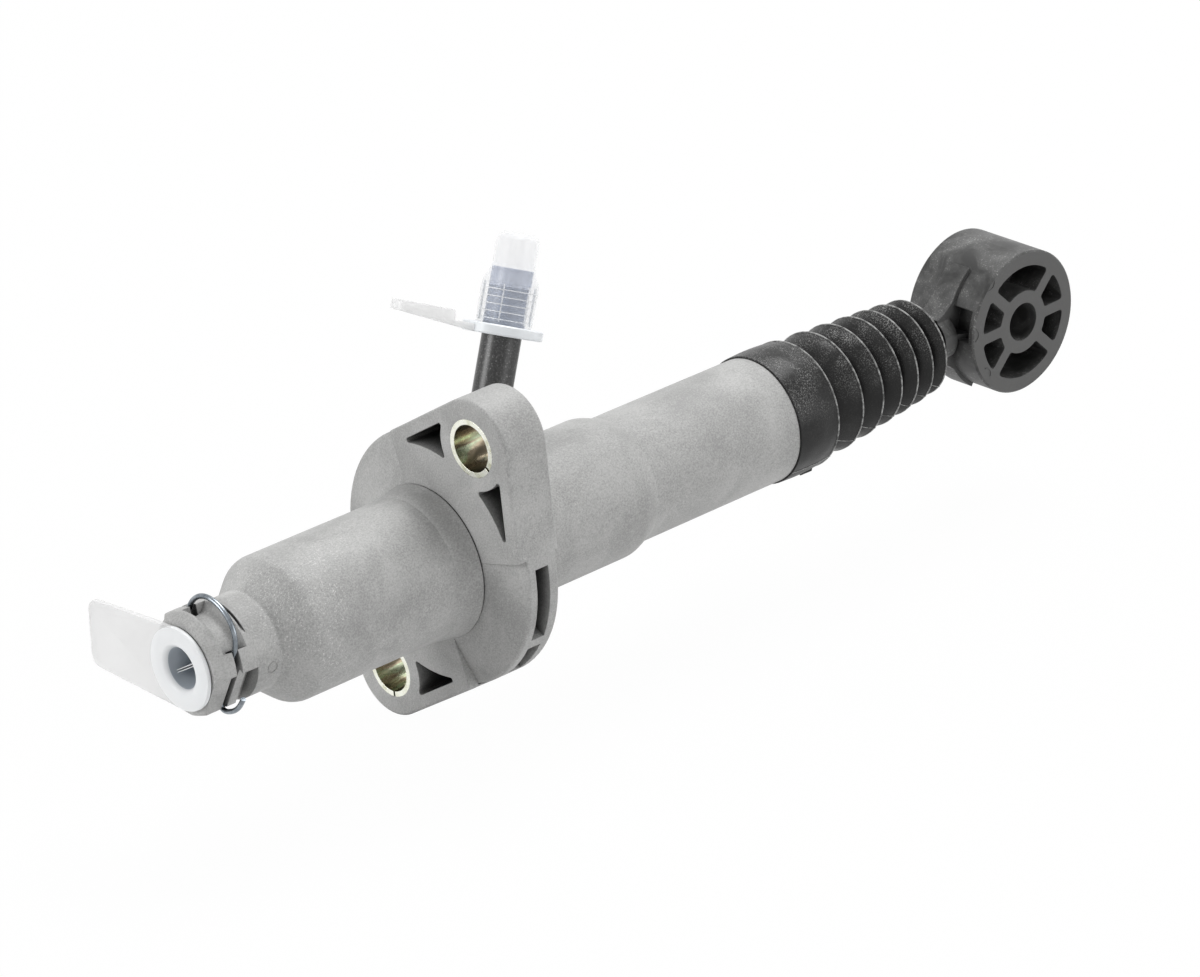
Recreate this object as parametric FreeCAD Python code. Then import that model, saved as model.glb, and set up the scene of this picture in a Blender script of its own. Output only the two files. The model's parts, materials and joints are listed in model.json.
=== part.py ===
import FreeCAD, Part
import math
import os

os.makedirs("parts", exist_ok=True)

# Clutch master cylinder, in millimetres.
# X runs along the bore from the outlet to the pushrod, Y along the pedal pin, and Z is up.
# The origin is the centre of the bolt pattern, on the front face of the two flange lobes.

V = FreeCAD.Vector
origin = V(0, 0, 0)
axis_x = V(1, 0, 0)
axis_y = V(0, 1, 0)
axis_z = V(0, 0, 1)

# Fits
running_gap = 0.04
slip_gap = 0.05
free_gap = 0.3
cut_overrun = 1.0

# Flange
bolt_spacing = 60.0
bolt_lean = 25.9
lobe_radius = 9.5
lobe_thickness = 10.2
disc_radius = 25.1
disc_front_drop = 2.2
disc_back_drop = 0.7
pad_half_angle = 48.0
sleeve_radius = 5.65
sleeve_wall = 1.05
sleeve_slit = 0.5
sleeve_slit_turn_upper = 8.0
sleeve_slit_turn_lower = 55.0
boss_wall = 2.65
pocket_rim_wall = 2.6
pocket_hub_radius = 23.3
pocket_floor = 1.8
pocket_corner = 0.5
window_front = 4.0
window_width = 3.2
window_spans = ((-36.6, -1.4), (3.9, 24.7))
window_core_radius = 17.2
groove_width = 1.7
groove_wall_slope = 0.6
groove_depth = 2.6
groove_round = 0.9
flange_edge_round = 0.6

# Front cylinder, neck and connector head
front_wall = 4.8
front_length = 38.8
front_foot_drop = 0.9
front_end_taper = 5.0
front_end_round = 3.0
shoulder_length = 5.8
shoulder_round = 3.2
neck_radius = 9.5
neck_round = 0.6
neck_length = 5.4
head_radius = 10.3
head_length = 9.6
head_chamfer = 1.4
head_chamfer_round = 0.8
head_flat = 8.0
head_flat_top = 4.8
head_floor = 8.6
head_facet = 3.4
head_relief_length = 2.2
head_relief = 6.6
head_groove_width = 0.4
head_groove_depth = 0.4
saddle_radius = 8.3
saddle_start = 2.1
saddle_width = 5.4
saddle_half_angle = 37.0
sliver_height = 9.4
sliver_start = 7.9
sliver_width = 0.6
saddle_slope = 0.25
saddle_round = 1.2

# Rear collar and tube
collar_wall = 3.8
collar_length = 36.8
collar_taper = 4.0
collar_round = 6.0
tube_wall = 2.4
tube_end = 95.0
cuff_length = 9.6
cuff_seat_wall = 1.4
cuff_bead_inset = 2.4
cuff_bead_length = 2.2
cuff_bead_depth = 0.5

# Bore of the body
chamber_gap = 1.46
chamber_end = 35.5
seal_depth = 2.46
seal_start = 7.5
outlet_bore_radius = 2.2
socket_radius = 6.4
socket_depth = 10.0
socket_seat_radius = 5.2
socket_seat_depth = 12.6
socket_chamfer = 0.5

# Wire clip
wire_radius = 0.5
clip_from_face = 4.7
clip_shift = 0.3
clip_tail = ((11.8, 0.7), (11.7, -0.8), (9.9, -4.6), (8.2, -5.6), (6.8, -4.6), (5.9, -2.2))
clip_leg = ((5.7, 1.4), (6.1, 4.6), (6.5, 7.6), (4.8, 11.8))
clip_top = 13.7
clip_slot_gap = 0.2
clip_slot_inner = 4.8
clip_slot_floor = -7.2

# Plunger
piston_radius = 7.94
piston_nose = 4.0
piston_edge = 0.6
piston_wall = 1.7
piston_solid_length = 24.0
feed_hole_radius = 0.6
feed_hole_count = 6
feed_hole_place = 12.8
guide_ring_length = 8.0
guide_ring_wall = 0.55
ball_radius = 5.5
ball_depth = 8.2
retainer_seat = 0.9
retainer_mouth = 4.2
retainer_flare = 0.8
retainer_step = 2.6
retainer_length = 3.0
retainer_slit = 1.0
retainer_lip = 0.5

# Seals, feed ring, bush and stop ring
seal_length = 4.2
seal_heel = 1.6
seal_lip = 0.9
seal_lip_thinning = 0.6
feed_ring_length = 6.4
feed_ring_land = 1.4
feed_ring_bore = 8.3
feed_ring_groove = 1.2
feed_port_radius = 1.1
feed_port_count = 8
bush_length = 22.0
bush_relief = 0.5
bush_relief_inset = 3.0
stop_ring_length = 2.2
stop_ring_bore = 7.2
stop_ring_lip = 0.5
stop_ring_nose = 0.6

# Return spring
spring_radius = 4.9
spring_wire_radius = 0.7
spring_turns = 12
seat_flange_radius = 5.9
seat_flange_length = 1.2
seat_post_radius = 3.9
seat_post_length = 6.0
seat_post_edge = 0.8

# Pushrod
rod_core_radius = 2.6
rod_web_width = 8.2
rod_web_thickness = 2.2
rod_neck_radius = 3.3
rod_rise_angle = 1.1
rod_side_angle = 0.5
boot_length = 37.6
boot_land_length = 3.0
boot_land_radius = 4.3
rod_collar_radius = 5.0
rod_collar_width = 2.0
rod_foot_length = 3.4
eye_radius = 15.0
eye_width = 17.9
eye_chamfer = 0.35
eye_bore_radius = 4.0
eye_hub_radius = 6.6
eye_rim_radius = 11.9
eye_web = 3.1
spoke_width = 2.3
spoke_angles = (0, 45, 135, 180, 225, 315)
spoke_corner = 0.7
neck_web_width = 5.4
neck_web_radius = 15.8
neck_web_angle = 56.0
neck_leave_angle = 29.0
neck_foot = 18.6
neck_foot_half = 4.7
neck_blend = (16.3, 5.75)
eye_recess_wall = 1.2
eye_recess_half = 6.5
eye_recess_radius = 12.7
rib_half_thickness = 1.1
rib_start = 17.8
rib_start_half = 2.6
rib_end = 12.8
rib_end_half = 6.2

# Boot
boot_wall = 1.0
cuff_lip_wall = 1.35
cuff_bulge = 0.25
cuff_bulge_round = 4.0
crown_steps = (1.0, 8.7, 15.0, 20.9, 26.0, 30.9, 35.4)
first_crown_rise = 1.2
crown_drops = (0.0, 0.7, 1.2, 1.7, 2.1, 2.55, 3.1)
valley_drop = 2.6
valley_land = 0.3
crown_shoulder_run = 0.75
crown_shoulder_drop = 0.32
flank_wall = 0.6
boot_collar_radius = 7.2
boot_end_radius = 6.4
boot_collar_length = 2.2
boot_end_gap = 0.2
boot_rod_gap = 0.3

# Outlet plug
plug_flange_radius = 8.1
plug_flange_thickness = 1.1
plug_hole_radius = 4.0
plug_mouth_chamfer = 0.7
plug_collar_length = 2.6
plug_nose_radius = 4.75
plug_nose_length = 10.2
plug_nose_edge = 0.6
plug_floor = 1.2
plug_rib = 0.6
plug_tab_length = 25.5
plug_tab_top = (7.5, 5.8)
plug_tab_bottom = (-8.0, -7.5)
plug_tab_corners = (1.2, 3.0)
outlet_seal_length = 1.6
outlet_bush_length = 0.9
outlet_bush_bore = 5.0

# Inlet: its axis leaves the bore axis and leans towards the pushrod and away from the pin's near end
inlet_foot = 9.1
inlet_lean_angle = 24.5
inlet_side_angle = 8.1
inlet_boss_radius = 7.6
inlet_boss_top = 22.0
inlet_port_radius = 2.4
inlet_counterbore = 5.9
inlet_counterbore_floor = 15.8
pipe_radius = 3.8
pipe_bore = 2.4
pipe_foot = 17.0
pipe_top = 52.4
pipe_edge = 0.5
pipe_bead = 0.5
pipe_bead_place = 19.4
grommet_flange_radius = 7.0
grommet_flange = 1.4
cap_overlap = 12.6
cap_rim_radius = 7.65
cap_rim_thickness = 2.0
cap_skirt_radius = 5.3
cap_bell_radius = 5.45
cap_bell_drop = 2.8
cap_bell_land = 1.0
cap_nipple_gap = 0.5
cap_nipple_radius = 4.1
cap_nipple_length = 6.4
cap_top_chamfer = 1.3
cap_nipple_bore = 2.9
cap_roof = 1.3
cap_tab_turn = 142.0
cap_tab_length = 21.2
cap_tab_width = 10.0
cap_tab_corner = 2.0
cap_tab_bridge = 1.4
cap_tab_bridge_end = 10.0
cap_tab_rise = 1.6
cap_tab_root = 3.4
cap_tab_end = 2.0

lobe_reach = bolt_spacing / 2
chamber_radius = piston_radius + chamber_gap
front_radius = chamber_radius + front_wall
front_radius_at_foot = front_radius - front_foot_drop
groove_radius = front_radius_at_foot + groove_width
seal_bore_radius = piston_radius + seal_depth
collar_radius = seal_bore_radius + collar_wall
tube_radius = seal_bore_radius + tube_wall
cuff_seat_radius = seal_bore_radius + cuff_seat_wall
cuff_lip_radius = cuff_seat_radius + cuff_lip_wall
crown_radii = [cuff_seat_radius + first_crown_rise - drop for drop in crown_drops]
retainer_radius = ball_radius + retainer_seat
head_back = -(front_length + shoulder_length + neck_length)
head_front = head_back - head_length
clip_place = head_front + clip_from_face
cuff_start = tube_end - cuff_length
cuff_bead_start = cuff_start + cuff_bead_inset
piston_tail = tube_end - stop_ring_length - stop_ring_nose
ball_place = piston_tail - ball_depth
piston_hollow_end = ball_place - piston_solid_length
retainer_start = ball_place + retainer_step
boot_land_start = tube_end + boot_length
rod_foot = boot_land_start + boot_land_length
eye_place = rod_foot + neck_foot
boot_end = rod_foot - boot_end_gap
cap_rim_place = pipe_top - cap_overlap
cap_bell_end = pipe_top - cap_bell_drop
cap_nipple_start = pipe_top + cap_nipple_gap
cap_top = cap_nipple_start + cap_nipple_length


def save(shape, node):
    shape.exportStep("parts/" + node + ".step")


def rounded_edges(corners, place):
    # corners are (a, b) or (a, b, round); place turns (a, b) into a point in space
    edges = []
    count = len(corners)
    ends = []
    for i, corner in enumerate(corners):
        here = V(corner[0], corner[1], 0)
        if len(corner) == 2:
            ends.append((here, here, here))
            continue
        before = V(*corners[i - 1][:2], 0).sub(here).normalize()
        after = V(*corners[(i + 1) % count][:2], 0).sub(here).normalize()
        half = before.getAngle(after) / 2
        middle = before.add(after).normalize()
        back = corner[2] / math.tan(half)
        top = here.add(middle * (corner[2] / math.sin(half) - corner[2]))
        ends.append((here.add(before * back), top, here.add(after * back)))
    for i, (start, top, end) in enumerate(ends):
        if start.distanceToPoint(end) > 1e-6:
            edges.append(Part.Arc(place(start), place(top), place(end)).toShape())
        following = ends[(i + 1) % count][0]
        if end.distanceToPoint(following) > 1e-6:
            edges.append(Part.LineSegment(place(end), place(following)).toShape())
    return edges


def face_of(corners, place):
    return Part.Face(Part.Wire(rounded_edges(corners, place)))


def turned(corners):
    # A profile of (x, radius) corners turned about the bore axis
    return face_of(corners, lambda p: V(p.x, p.y, 0)).revolve(origin, axis_x, 360)


def turned_z(corners):
    # A profile of (radius, height) corners turned about Z
    return face_of(corners, lambda p: V(p.x, 0, p.y)).revolve(origin, axis_z, 360)


def rod_x(radius, start, end):
    return Part.makeCylinder(radius, end - start, V(start, 0, 0), axis_x)


def ring_x(outer, inner, start, end):
    return rod_x(outer, start, end).cut(rod_x(inner, start, end))


def box(x0, x1, y0, y1, z0, z1):
    return Part.makeBox(x1 - x0, y1 - y0, z1 - z0, V(x0, y0, z0))


def extruded_x(corners, start, end):
    # An outline of (y, z) corners drawn out along X
    return face_of(corners, lambda p: V(start, p.x, p.y)).extrude(V(end - start, 0, 0))


def sector(half_angle, reach, start, end):
    # Wedge about +Z, drawn out along X
    side = reach * math.tan(math.radians(half_angle))
    return extruded_x(((0, 0), (side, reach), (-side, reach)), start, end)


def leaned(shape):
    # From the moulding's upright frame, bolts along Z, into the part's frame
    return shape.rotated(origin, axis_x, bolt_lean)


def rod_leaned(shape):
    # The rod rests a little up and to one side of the bore, turned about its ball
    place = V(ball_place, 0, 0)
    return shape.rotated(place, axis_y, -rod_rise_angle).rotated(place, axis_z, rod_side_angle)


def onto_inlet(shape):
    # From a frame with Z along the inlet into the part's frame
    turned_shape = shape.rotated(origin, axis_x, -inlet_side_angle)
    return turned_shape.rotated(origin, axis_y, inlet_lean_angle).translated(V(inlet_foot, 0, 0))


def hull_outline(disc, lobe, start, end):
    # Disc and two lobes joined by tangent sides, drawn out along X
    angle = math.acos((disc_radius - lobe_radius) / lobe_reach)
    c = math.cos(angle)
    s = math.sin(angle)

    def at(y, z):
        return V(start, y, z)

    edges = []
    for up in (1, -1):
        top = lobe_reach * up
        right = at(up * lobe * s, top + up * lobe * c)
        left = at(-up * lobe * s, top + up * lobe * c)
        low_right = at(up * disc * s, up * disc * c)
        low_left = at(-up * disc * s, up * disc * c)
        far_side = at(-up * disc * s, -up * disc * c)
        edges.append(Part.LineSegment(low_right, right).toShape())
        edges.append(Part.Arc(right, at(0, top + up * lobe), left).toShape())
        edges.append(Part.LineSegment(left, low_left).toShape())
        edges.append(Part.Arc(low_left, at(-up * disc, 0), far_side).toShape())
    return Part.Face(Part.Wire(Part.__sortEdges__(edges))).extrude(V(end - start, 0, 0))


def rounded_plate(start, end):
    plate = hull_outline(disc_radius, lobe_radius, start, end)
    rims = [e for e in plate.Edges if e.BoundBox.XLength < plate.BoundBox.XLength / 2]
    return plate.makeFillet(flange_edge_round, rims)


def flange():
    back = lobe_thickness - disc_back_drop
    plate = rounded_plate(disc_front_drop, back)
    pads = rounded_plate(0, lobe_thickness)
    wedge = sector(pad_half_angle, disc_radius * 3, 0, lobe_thickness)
    lower_wedge = wedge.rotated(origin, axis_x, 180)
    cone = turned((
        (0, 0), (0, groove_radius), (disc_front_drop, disc_radius, flange_edge_round),
        (back, disc_radius, flange_edge_round), (back, 0)))
    body = plate.cut(rod_x(disc_radius, disc_front_drop, lobe_thickness)).fuse(cone)
    body = body.fuse([pads.common(wedge), pads.common(lower_wedge)])
    return body.removeSplitter()


def pockets():
    # Four three-cornered hollows beside the sleeve bosses, open to the front
    floor = lobe_thickness - pocket_floor
    inner = hull_outline(disc_radius - pocket_rim_wall, lobe_radius - pocket_rim_wall, 0, floor)
    inner = inner.cut(rod_x(pocket_hub_radius, 0, floor))
    shapes = []
    for up in (1, -1):
        boss = Part.makeCylinder(sleeve_radius + boss_wall, floor, V(0, 0, up * lobe_reach), axis_x)
        low, high = sorted((0, up * lobe_reach))
        for side in (1, -1):
            near, far = sorted((0, side * disc_radius))
            pocket = inner.common(box(0, floor, near, far, low, high)).cut(boss)
            solid = max(pocket.Solids, key=lambda s: s.Volume)
            upright = [e for e in solid.Edges if e.BoundBox.XLength > floor * 0.9]
            shapes.append(solid.makeFillet(pocket_corner, upright))
    return shapes


def rim_windows():
    # Two windows in each round side, between the front and back plates, with a rib between them
    end = window_front + window_width
    slab = ring_x(disc_radius + cut_overrun, window_core_radius, window_front, end)
    reach = disc_radius * 2
    shapes = []
    for first, last in window_spans:
        wedge = sector((last - first) / 2, reach, window_front, end)
        window = slab.common(wedge.rotated(origin, axis_x, (first + last) / 2 + 90))
        shapes += [window, window.rotated(origin, axis_x, 180)]
    return shapes


def outer_body():
    # Head, neck, shoulder, front cylinder, collar and tube as one turned profile
    shoulder_back = -front_length
    shoulder_front = shoulder_back - shoulder_length
    collar_end = lobe_thickness + collar_length
    middle = lobe_thickness / 2
    return turned((
        (head_front, 0),
        (head_front, head_radius - head_chamfer),
        (head_front + head_chamfer, head_radius, head_chamfer_round),
        (head_back - head_groove_width, head_radius),
        (head_back - head_groove_width, head_radius - head_groove_depth),
        (head_back, head_radius - head_groove_depth),
        (head_back, neck_radius),
        (shoulder_front, neck_radius, neck_round),
        (shoulder_back, front_radius, shoulder_round),
        (-front_end_taper, front_radius, front_end_round),
        (groove_depth, front_radius_at_foot),
        (middle, front_radius_at_foot),
        (middle, collar_radius),
        (collar_end - collar_taper, collar_radius, collar_round),
        (collar_end, tube_radius),
        (cuff_start, tube_radius),
        (cuff_start, cuff_seat_radius),
        (cuff_bead_start, cuff_seat_radius),
        (cuff_bead_start, cuff_seat_radius - cuff_bead_depth),
        (cuff_bead_start + cuff_bead_length, cuff_seat_radius - cuff_bead_depth),
        (cuff_bead_start + cuff_bead_length, cuff_seat_radius),
        (tube_end, cuff_seat_radius),
        (tube_end, 0)))


def front_groove():
    # Groove between the flange face and the foot of the front cylinder
    above = -groove_depth
    return turned((
        (above, front_radius_at_foot),
        (above, groove_radius + groove_wall_slope),
        (groove_depth, groove_radius - groove_wall_slope, groove_round),
        (groove_depth, front_radius_at_foot)))


def head_cuts():
    # Side flats, lower facets, the saddle under the wire arch and the two slots for its legs
    front = head_front - cut_overrun
    wide = head_radius + cut_overrun
    cuts = []

    def cut_beside(start, end, inner, low, high):
        for side in (1, -1):
            near, far = sorted((side * inner, side * wide))
            cuts.append(box(start, end, near, far, low, high))

    cut_beside(front, head_back, head_flat, -wide, head_flat_top)
    cut_beside(head_back - head_relief_length, head_back, head_relief, -wide, head_flat_top)
    half = wire_radius + clip_slot_gap
    cut_beside(clip_place - half, clip_place + half, clip_slot_inner, clip_slot_floor, wide)
    low = -head_floor
    for side in (1, -1):
        inner = side * (head_flat - head_facet)
        corner = ((side * head_flat, low + head_facet), (side * wide, low + head_facet),
                  (side * wide, -wide), (inner, -wide), (inner, low))
        cuts.append(extruded_x(corner, front, head_back))
    cuts.append(box(front, head_back, -wide, wide, -wide, low))
    saddle = head_front + saddle_start
    slope = saddle_width * saddle_slope
    hollow = turned((
        (saddle, wide), (saddle, head_radius), (saddle + slope, saddle_radius, saddle_round),
        (saddle + saddle_width - slope, saddle_radius, saddle_round),
        (saddle + saddle_width, head_radius), (saddle + saddle_width, wide)))
    cuts.append(hollow.common(sector(saddle_half_angle, wide * 2, saddle, saddle + saddle_width)))
    sliver = head_front + sliver_start
    cuts.append(box(sliver, sliver + sliver_width, -wide, wide, sliver_height, wide))
    return cuts


def bore_cuts():
    socket = head_front + socket_depth
    seat = head_front + socket_seat_depth
    groove_start = piston_tail
    groove_end = groove_start + stop_ring_length
    return turned((
        (head_front, 0),
        (head_front, socket_radius + socket_chamfer),
        (head_front + socket_chamfer, socket_radius),
        (socket, socket_radius),
        (socket, socket_seat_radius),
        (seat, socket_seat_radius),
        (seat, outlet_bore_radius),
        (-chamber_end, outlet_bore_radius),
        (-chamber_end, chamber_radius),
        (seal_start, chamber_radius),
        (seal_start, seal_bore_radius),
        (groove_start, seal_bore_radius),
        (groove_start, seal_bore_radius + stop_ring_lip),
        (groove_end, seal_bore_radius + stop_ring_lip),
        (groove_end, seal_bore_radius),
        (tube_end + cut_overrun, seal_bore_radius),
        (tube_end + cut_overrun, 0)))


def inlet_boss():
    boss = Part.makeCylinder(inlet_boss_radius, inlet_boss_top)
    return onto_inlet(boss)


def inlet_port():
    port = Part.makeCylinder(inlet_port_radius, inlet_boss_top)
    seat = Part.makeCylinder(inlet_counterbore, inlet_boss_top, V(0, 0, inlet_counterbore_floor))
    return onto_inlet(port.fuse(seat))


def sleeve_place(up):
    return V(0, 0, up * lobe_reach)


def cylinder_body():
    head_zone = rod_x(head_radius + cut_overrun, head_front - cut_overrun, head_back)
    body = outer_body()
    head = body.common(head_zone).cut(head_cuts())
    body = body.cut(head_zone).fuse(head)
    plate = flange().cut(front_groove()).cut(pockets()).cut(rim_windows())
    body = leaned(body.fuse(plate)).fuse(inlet_boss())
    body = body.cut(bore_cuts()).cut(inlet_port())
    for up in (1, -1):
        hole = Part.makeCylinder(sleeve_radius, lobe_thickness, sleeve_place(up), axis_x)
        body = body.cut(leaned(hole))
    return body.removeSplitter()


def flange_sleeve(up):
    # Rolled sleeve with an open slit along its seam
    outer = Part.makeCylinder(sleeve_radius, lobe_thickness, sleeve_place(up), axis_x)
    inner = Part.makeCylinder(sleeve_radius - sleeve_wall, lobe_thickness, sleeve_place(up), axis_x)
    reach = sleeve_radius * 2
    slit = box(0, lobe_thickness, -reach, 0, -sleeve_slit / 2, sleeve_slit / 2)
    turn = sleeve_slit_turn_upper if up > 0 else sleeve_slit_turn_lower
    slit = slit.rotated(origin, axis_x, turn).translated(sleeve_place(up))
    return leaned(outer.cut(inner).cut(slit))


def lip_seal(start):
    # U-section cup, its lips towards the pressure chamber
    outer = seal_bore_radius
    inner = piston_radius + running_gap
    end = start + seal_length
    valley = end - seal_heel
    lip_edge = seal_lip * seal_lip_thinning
    return turned((
        (start, outer), (start, outer - lip_edge), (valley, outer - seal_lip),
        (valley, inner + seal_lip), (start, inner + lip_edge), (start, inner),
        (end, inner), (end, outer)))


def feed_ring():
    start = seal_start + seal_length
    end = start + feed_ring_length
    outer = seal_bore_radius
    inset = feed_ring_land
    body = turned((
        (start, feed_ring_bore), (start, outer), (start + inset, outer),
        (start + inset, outer - feed_ring_groove), (end - inset, outer - feed_ring_groove),
        (end - inset, outer), (end, outer), (end, feed_ring_bore)))
    port = Part.makeCylinder(feed_port_radius, outer * 2, V((start + end) / 2, 0, 0), axis_z)
    for i in range(feed_port_count):
        body = body.cut(port.rotated(origin, axis_x, 360 / feed_port_count * i))
    return body


def bearing_bush():
    start = seal_start + 2 * seal_length + feed_ring_length
    end = start + bush_length
    outer = seal_bore_radius
    inner = piston_radius + running_gap
    return turned((
        (start, inner), (start, outer), (start + bush_relief_inset, outer),
        (start + bush_relief_inset, outer - bush_relief), (end - bush_relief_inset, outer - bush_relief),
        (end - bush_relief_inset, outer), (end, outer), (end, inner)))


def piston_guide_ring():
    # Slides in the rear tube and keeps the plunger's tail centred
    start = piston_tail - guide_ring_length
    return ring_x(seal_bore_radius - running_gap, piston_radius - guide_ring_wall, start, piston_tail)


def stop_ring():
    start = piston_tail
    end = start + stop_ring_length
    nose = end + stop_ring_nose
    return turned((
        (start, stop_ring_bore), (start, seal_bore_radius + stop_ring_lip),
        (end, seal_bore_radius + stop_ring_lip), (end, seal_bore_radius),
        (nose, seal_bore_radius - stop_ring_nose), (nose, stop_ring_bore)))


def piston():
    # Hollow plunger, with feed holes near its nose and a ball socket in its stepped tail
    tail_bore = ball_radius + slip_gap
    tail_step = piston_tail - guide_ring_length
    tail_radius = piston_radius - guide_ring_wall
    retainer_end = retainer_start + retainer_length + slip_gap
    body = turned((
        (piston_nose, 0), (piston_nose, piston_radius - piston_edge),
        (piston_nose + piston_edge, piston_radius),
        (tail_step, piston_radius), (tail_step, tail_radius), (piston_tail, tail_radius), (piston_tail, 0)))
    body = body.cut(rod_x(piston_radius - piston_wall, piston_nose - cut_overrun, piston_hollow_end))
    body = body.cut(Part.makeSphere(tail_bore, V(ball_place, 0, 0)))
    body = body.cut(rod_x(tail_bore, ball_place, retainer_start))
    body = body.cut(rod_x(retainer_radius, retainer_start - slip_gap, retainer_end))
    body = body.cut(rod_x(retainer_radius - retainer_lip, retainer_end, piston_tail + cut_overrun))
    hole = Part.makeCylinder(feed_hole_radius, piston_radius * 2, V(feed_hole_place, 0, 0), axis_z)
    for i in range(feed_hole_count):
        body = body.cut(hole.rotated(origin, axis_x, 360 / feed_hole_count * i))
    return body


def ball_retainer():
    end = retainer_start + retainer_length
    ring = rod_x(retainer_radius - slip_gap, retainer_start, end)
    ring = ring.cut(Part.makeSphere(ball_radius + slip_gap, V(ball_place, 0, 0)))
    flare = retainer_mouth + retainer_flare
    mouth = Part.makeCone(retainer_mouth, flare, retainer_length, V(retainer_start, 0, 0), axis_x)
    ring = ring.cut(mouth)
    slit = box(retainer_start, end, -retainer_slit / 2, retainer_slit / 2, 0, retainer_radius)
    return ring.cut(slit)


def spring_seat():
    start = -chamber_end
    flange_end = start + seat_flange_length
    post_end = flange_end + seat_post_length
    return turned((
        (start, outlet_bore_radius), (start, seat_flange_radius), (flange_end, seat_flange_radius),
        (flange_end, seat_post_radius), (post_end - seat_post_edge, seat_post_radius),
        (post_end, seat_post_radius - seat_post_edge), (post_end, outlet_bore_radius)))


def return_spring():
    start = -chamber_end + seat_flange_length + spring_wire_radius + slip_gap
    end = piston_hollow_end - spring_wire_radius - slip_gap
    coil = Part.makeHelix((end - start) / spring_turns, end - start, spring_radius)
    section = Part.makeCircle(spring_wire_radius, V(spring_radius, 0, 0), axis_y)
    solid = Part.Wire(coil.Edges).makePipeShell([Part.Wire(section)], True, True)
    return solid.rotated(origin, axis_y, 90).translated(V(start, 0, 0))


def rod_shank():
    # Ball, thin neck, cross-shaped webs, the land that holds the boot and its collars
    web_end = boot_land_start - rod_collar_width
    half = rod_web_width / 2
    thin = rod_web_thickness / 2
    shank = Part.makeSphere(ball_radius, V(ball_place, 0, 0)).fuse([
        rod_x(rod_neck_radius, ball_place, tube_end),
        rod_x(rod_core_radius, ball_place, web_end),
        box(tube_end, web_end, -half, half, -thin, thin),
        box(tube_end, web_end, -thin, thin, -half, half),
        rod_x(rod_collar_radius, web_end, boot_land_start),
        rod_x(boot_land_radius, boot_land_start, rod_foot),
        rod_x(rod_collar_radius, rod_foot, rod_foot + rod_foot_length)])
    return shank


def on_eye(angle, radius):
    turn = math.radians(angle)
    return (eye_place + radius * math.cos(turn), radius * math.sin(turn))


def neck_web():
    # Upright web that spreads from the rod round the back of the eye
    def at(point):
        return V(point[0], -neck_web_width / 2, point[1])

    edges = []
    corner = {}
    for up in (1, -1):
        end = on_eye(up * (180 - neck_web_angle), neck_web_radius)
        leave = on_eye(up * (180 - neck_leave_angle), neck_web_radius)
        half_way = on_eye(up * (180 - (neck_web_angle + neck_leave_angle) / 2), neck_web_radius)
        foot = (eye_place - neck_foot, up * neck_foot_half)
        blend = (eye_place - neck_blend[0], up * neck_blend[1])
        edges.append(Part.LineSegment(at((eye_place, 0)), at(end)).toShape())
        edges.append(Part.Arc(at(end), at(half_way), at(leave)).toShape())
        edges.append(Part.Arc(at(leave), at(blend), at(foot)).toShape())
        corner[up] = foot
    edges.append(Part.LineSegment(at(corner[1]), at(corner[-1])).toShape())
    return Part.Face(Part.Wire(Part.__sortEdges__(edges))).extrude(V(0, neck_web_width, 0))


def flat_rib():
    start = eye_place - rib_start
    end = eye_place - rib_end
    corners = (
        (start, rib_start_half), (end, rib_end_half), (eye_place, rib_end_half),
        (eye_place, -rib_end_half), (end, -rib_end_half), (start, -rib_start_half))
    face = face_of(corners, lambda p: V(p.x, p.y, -rib_half_thickness))
    return face.extrude(V(0, 0, 2 * rib_half_thickness))


def eye_windows():
    # Six hollows on each face, left between a hub, a rim and six spokes
    depth = (eye_width - eye_web) / 2
    ring = Part.makeCylinder(eye_rim_radius, depth, origin, axis_y)
    ring = ring.cut(Part.makeCylinder(eye_hub_radius, depth, origin, axis_y))
    for angle in spoke_angles:
        spoke = box(0, eye_radius, 0, depth, -spoke_width / 2, spoke_width / 2)
        ring = ring.cut(spoke.rotated(origin, axis_y, -angle))
    shapes = []
    for solid in ring.Solids:
        upright = [e for e in solid.Edges if e.BoundBox.YLength > depth * 0.9]
        window = solid.makeFillet(spoke_corner, upright)
        for start in (-eye_width / 2, eye_web / 2):
            shapes.append(window.translated(V(eye_place, start, 0)))
    return shapes


def eye_drum():
    drum = Part.makeCylinder(eye_radius, eye_width, V(eye_place, -eye_width / 2, 0), axis_y)
    rims = [e for e in drum.Edges if e.BoundBox.YLength < eye_width / 2]
    drum = drum.makeChamfer(eye_chamfer, rims)
    # Hollow beside the neck web, above the flat rib and under the rim plate
    back = eye_place - eye_radius - cut_overrun
    hollow = box(back, eye_place, eye_recess_wall - eye_width / 2, -neck_web_width / 2, 0, eye_recess_half)
    floor = Part.makeCylinder(eye_recess_radius, eye_width, V(eye_place, -eye_width / 2, 0), axis_y)
    return drum.cut(hollow.cut(floor))


def pushrod_eye():
    eye = eye_drum().fuse([neck_web(), flat_rib()])
    core = Part.makeCylinder(eye_rim_radius, eye_width, V(eye_place, -eye_width / 2, 0), axis_y)
    hub_side = neck_web().fuse(flat_rib()).common(core)
    eye = eye.cut(hub_side).fuse(eye_drum().common(core))
    eye = eye.cut(eye_windows())
    eye = eye.cut(Part.makeCylinder(eye_bore_radius, eye_width, V(eye_place, -eye_width / 2, 0), axis_y))
    return rod_leaned(eye.fuse(rod_shank()).removeSplitter())


def edges_between(points):
    return [Part.LineSegment(p, q).toShape() for p, q in zip(points, points[1:])]


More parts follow.
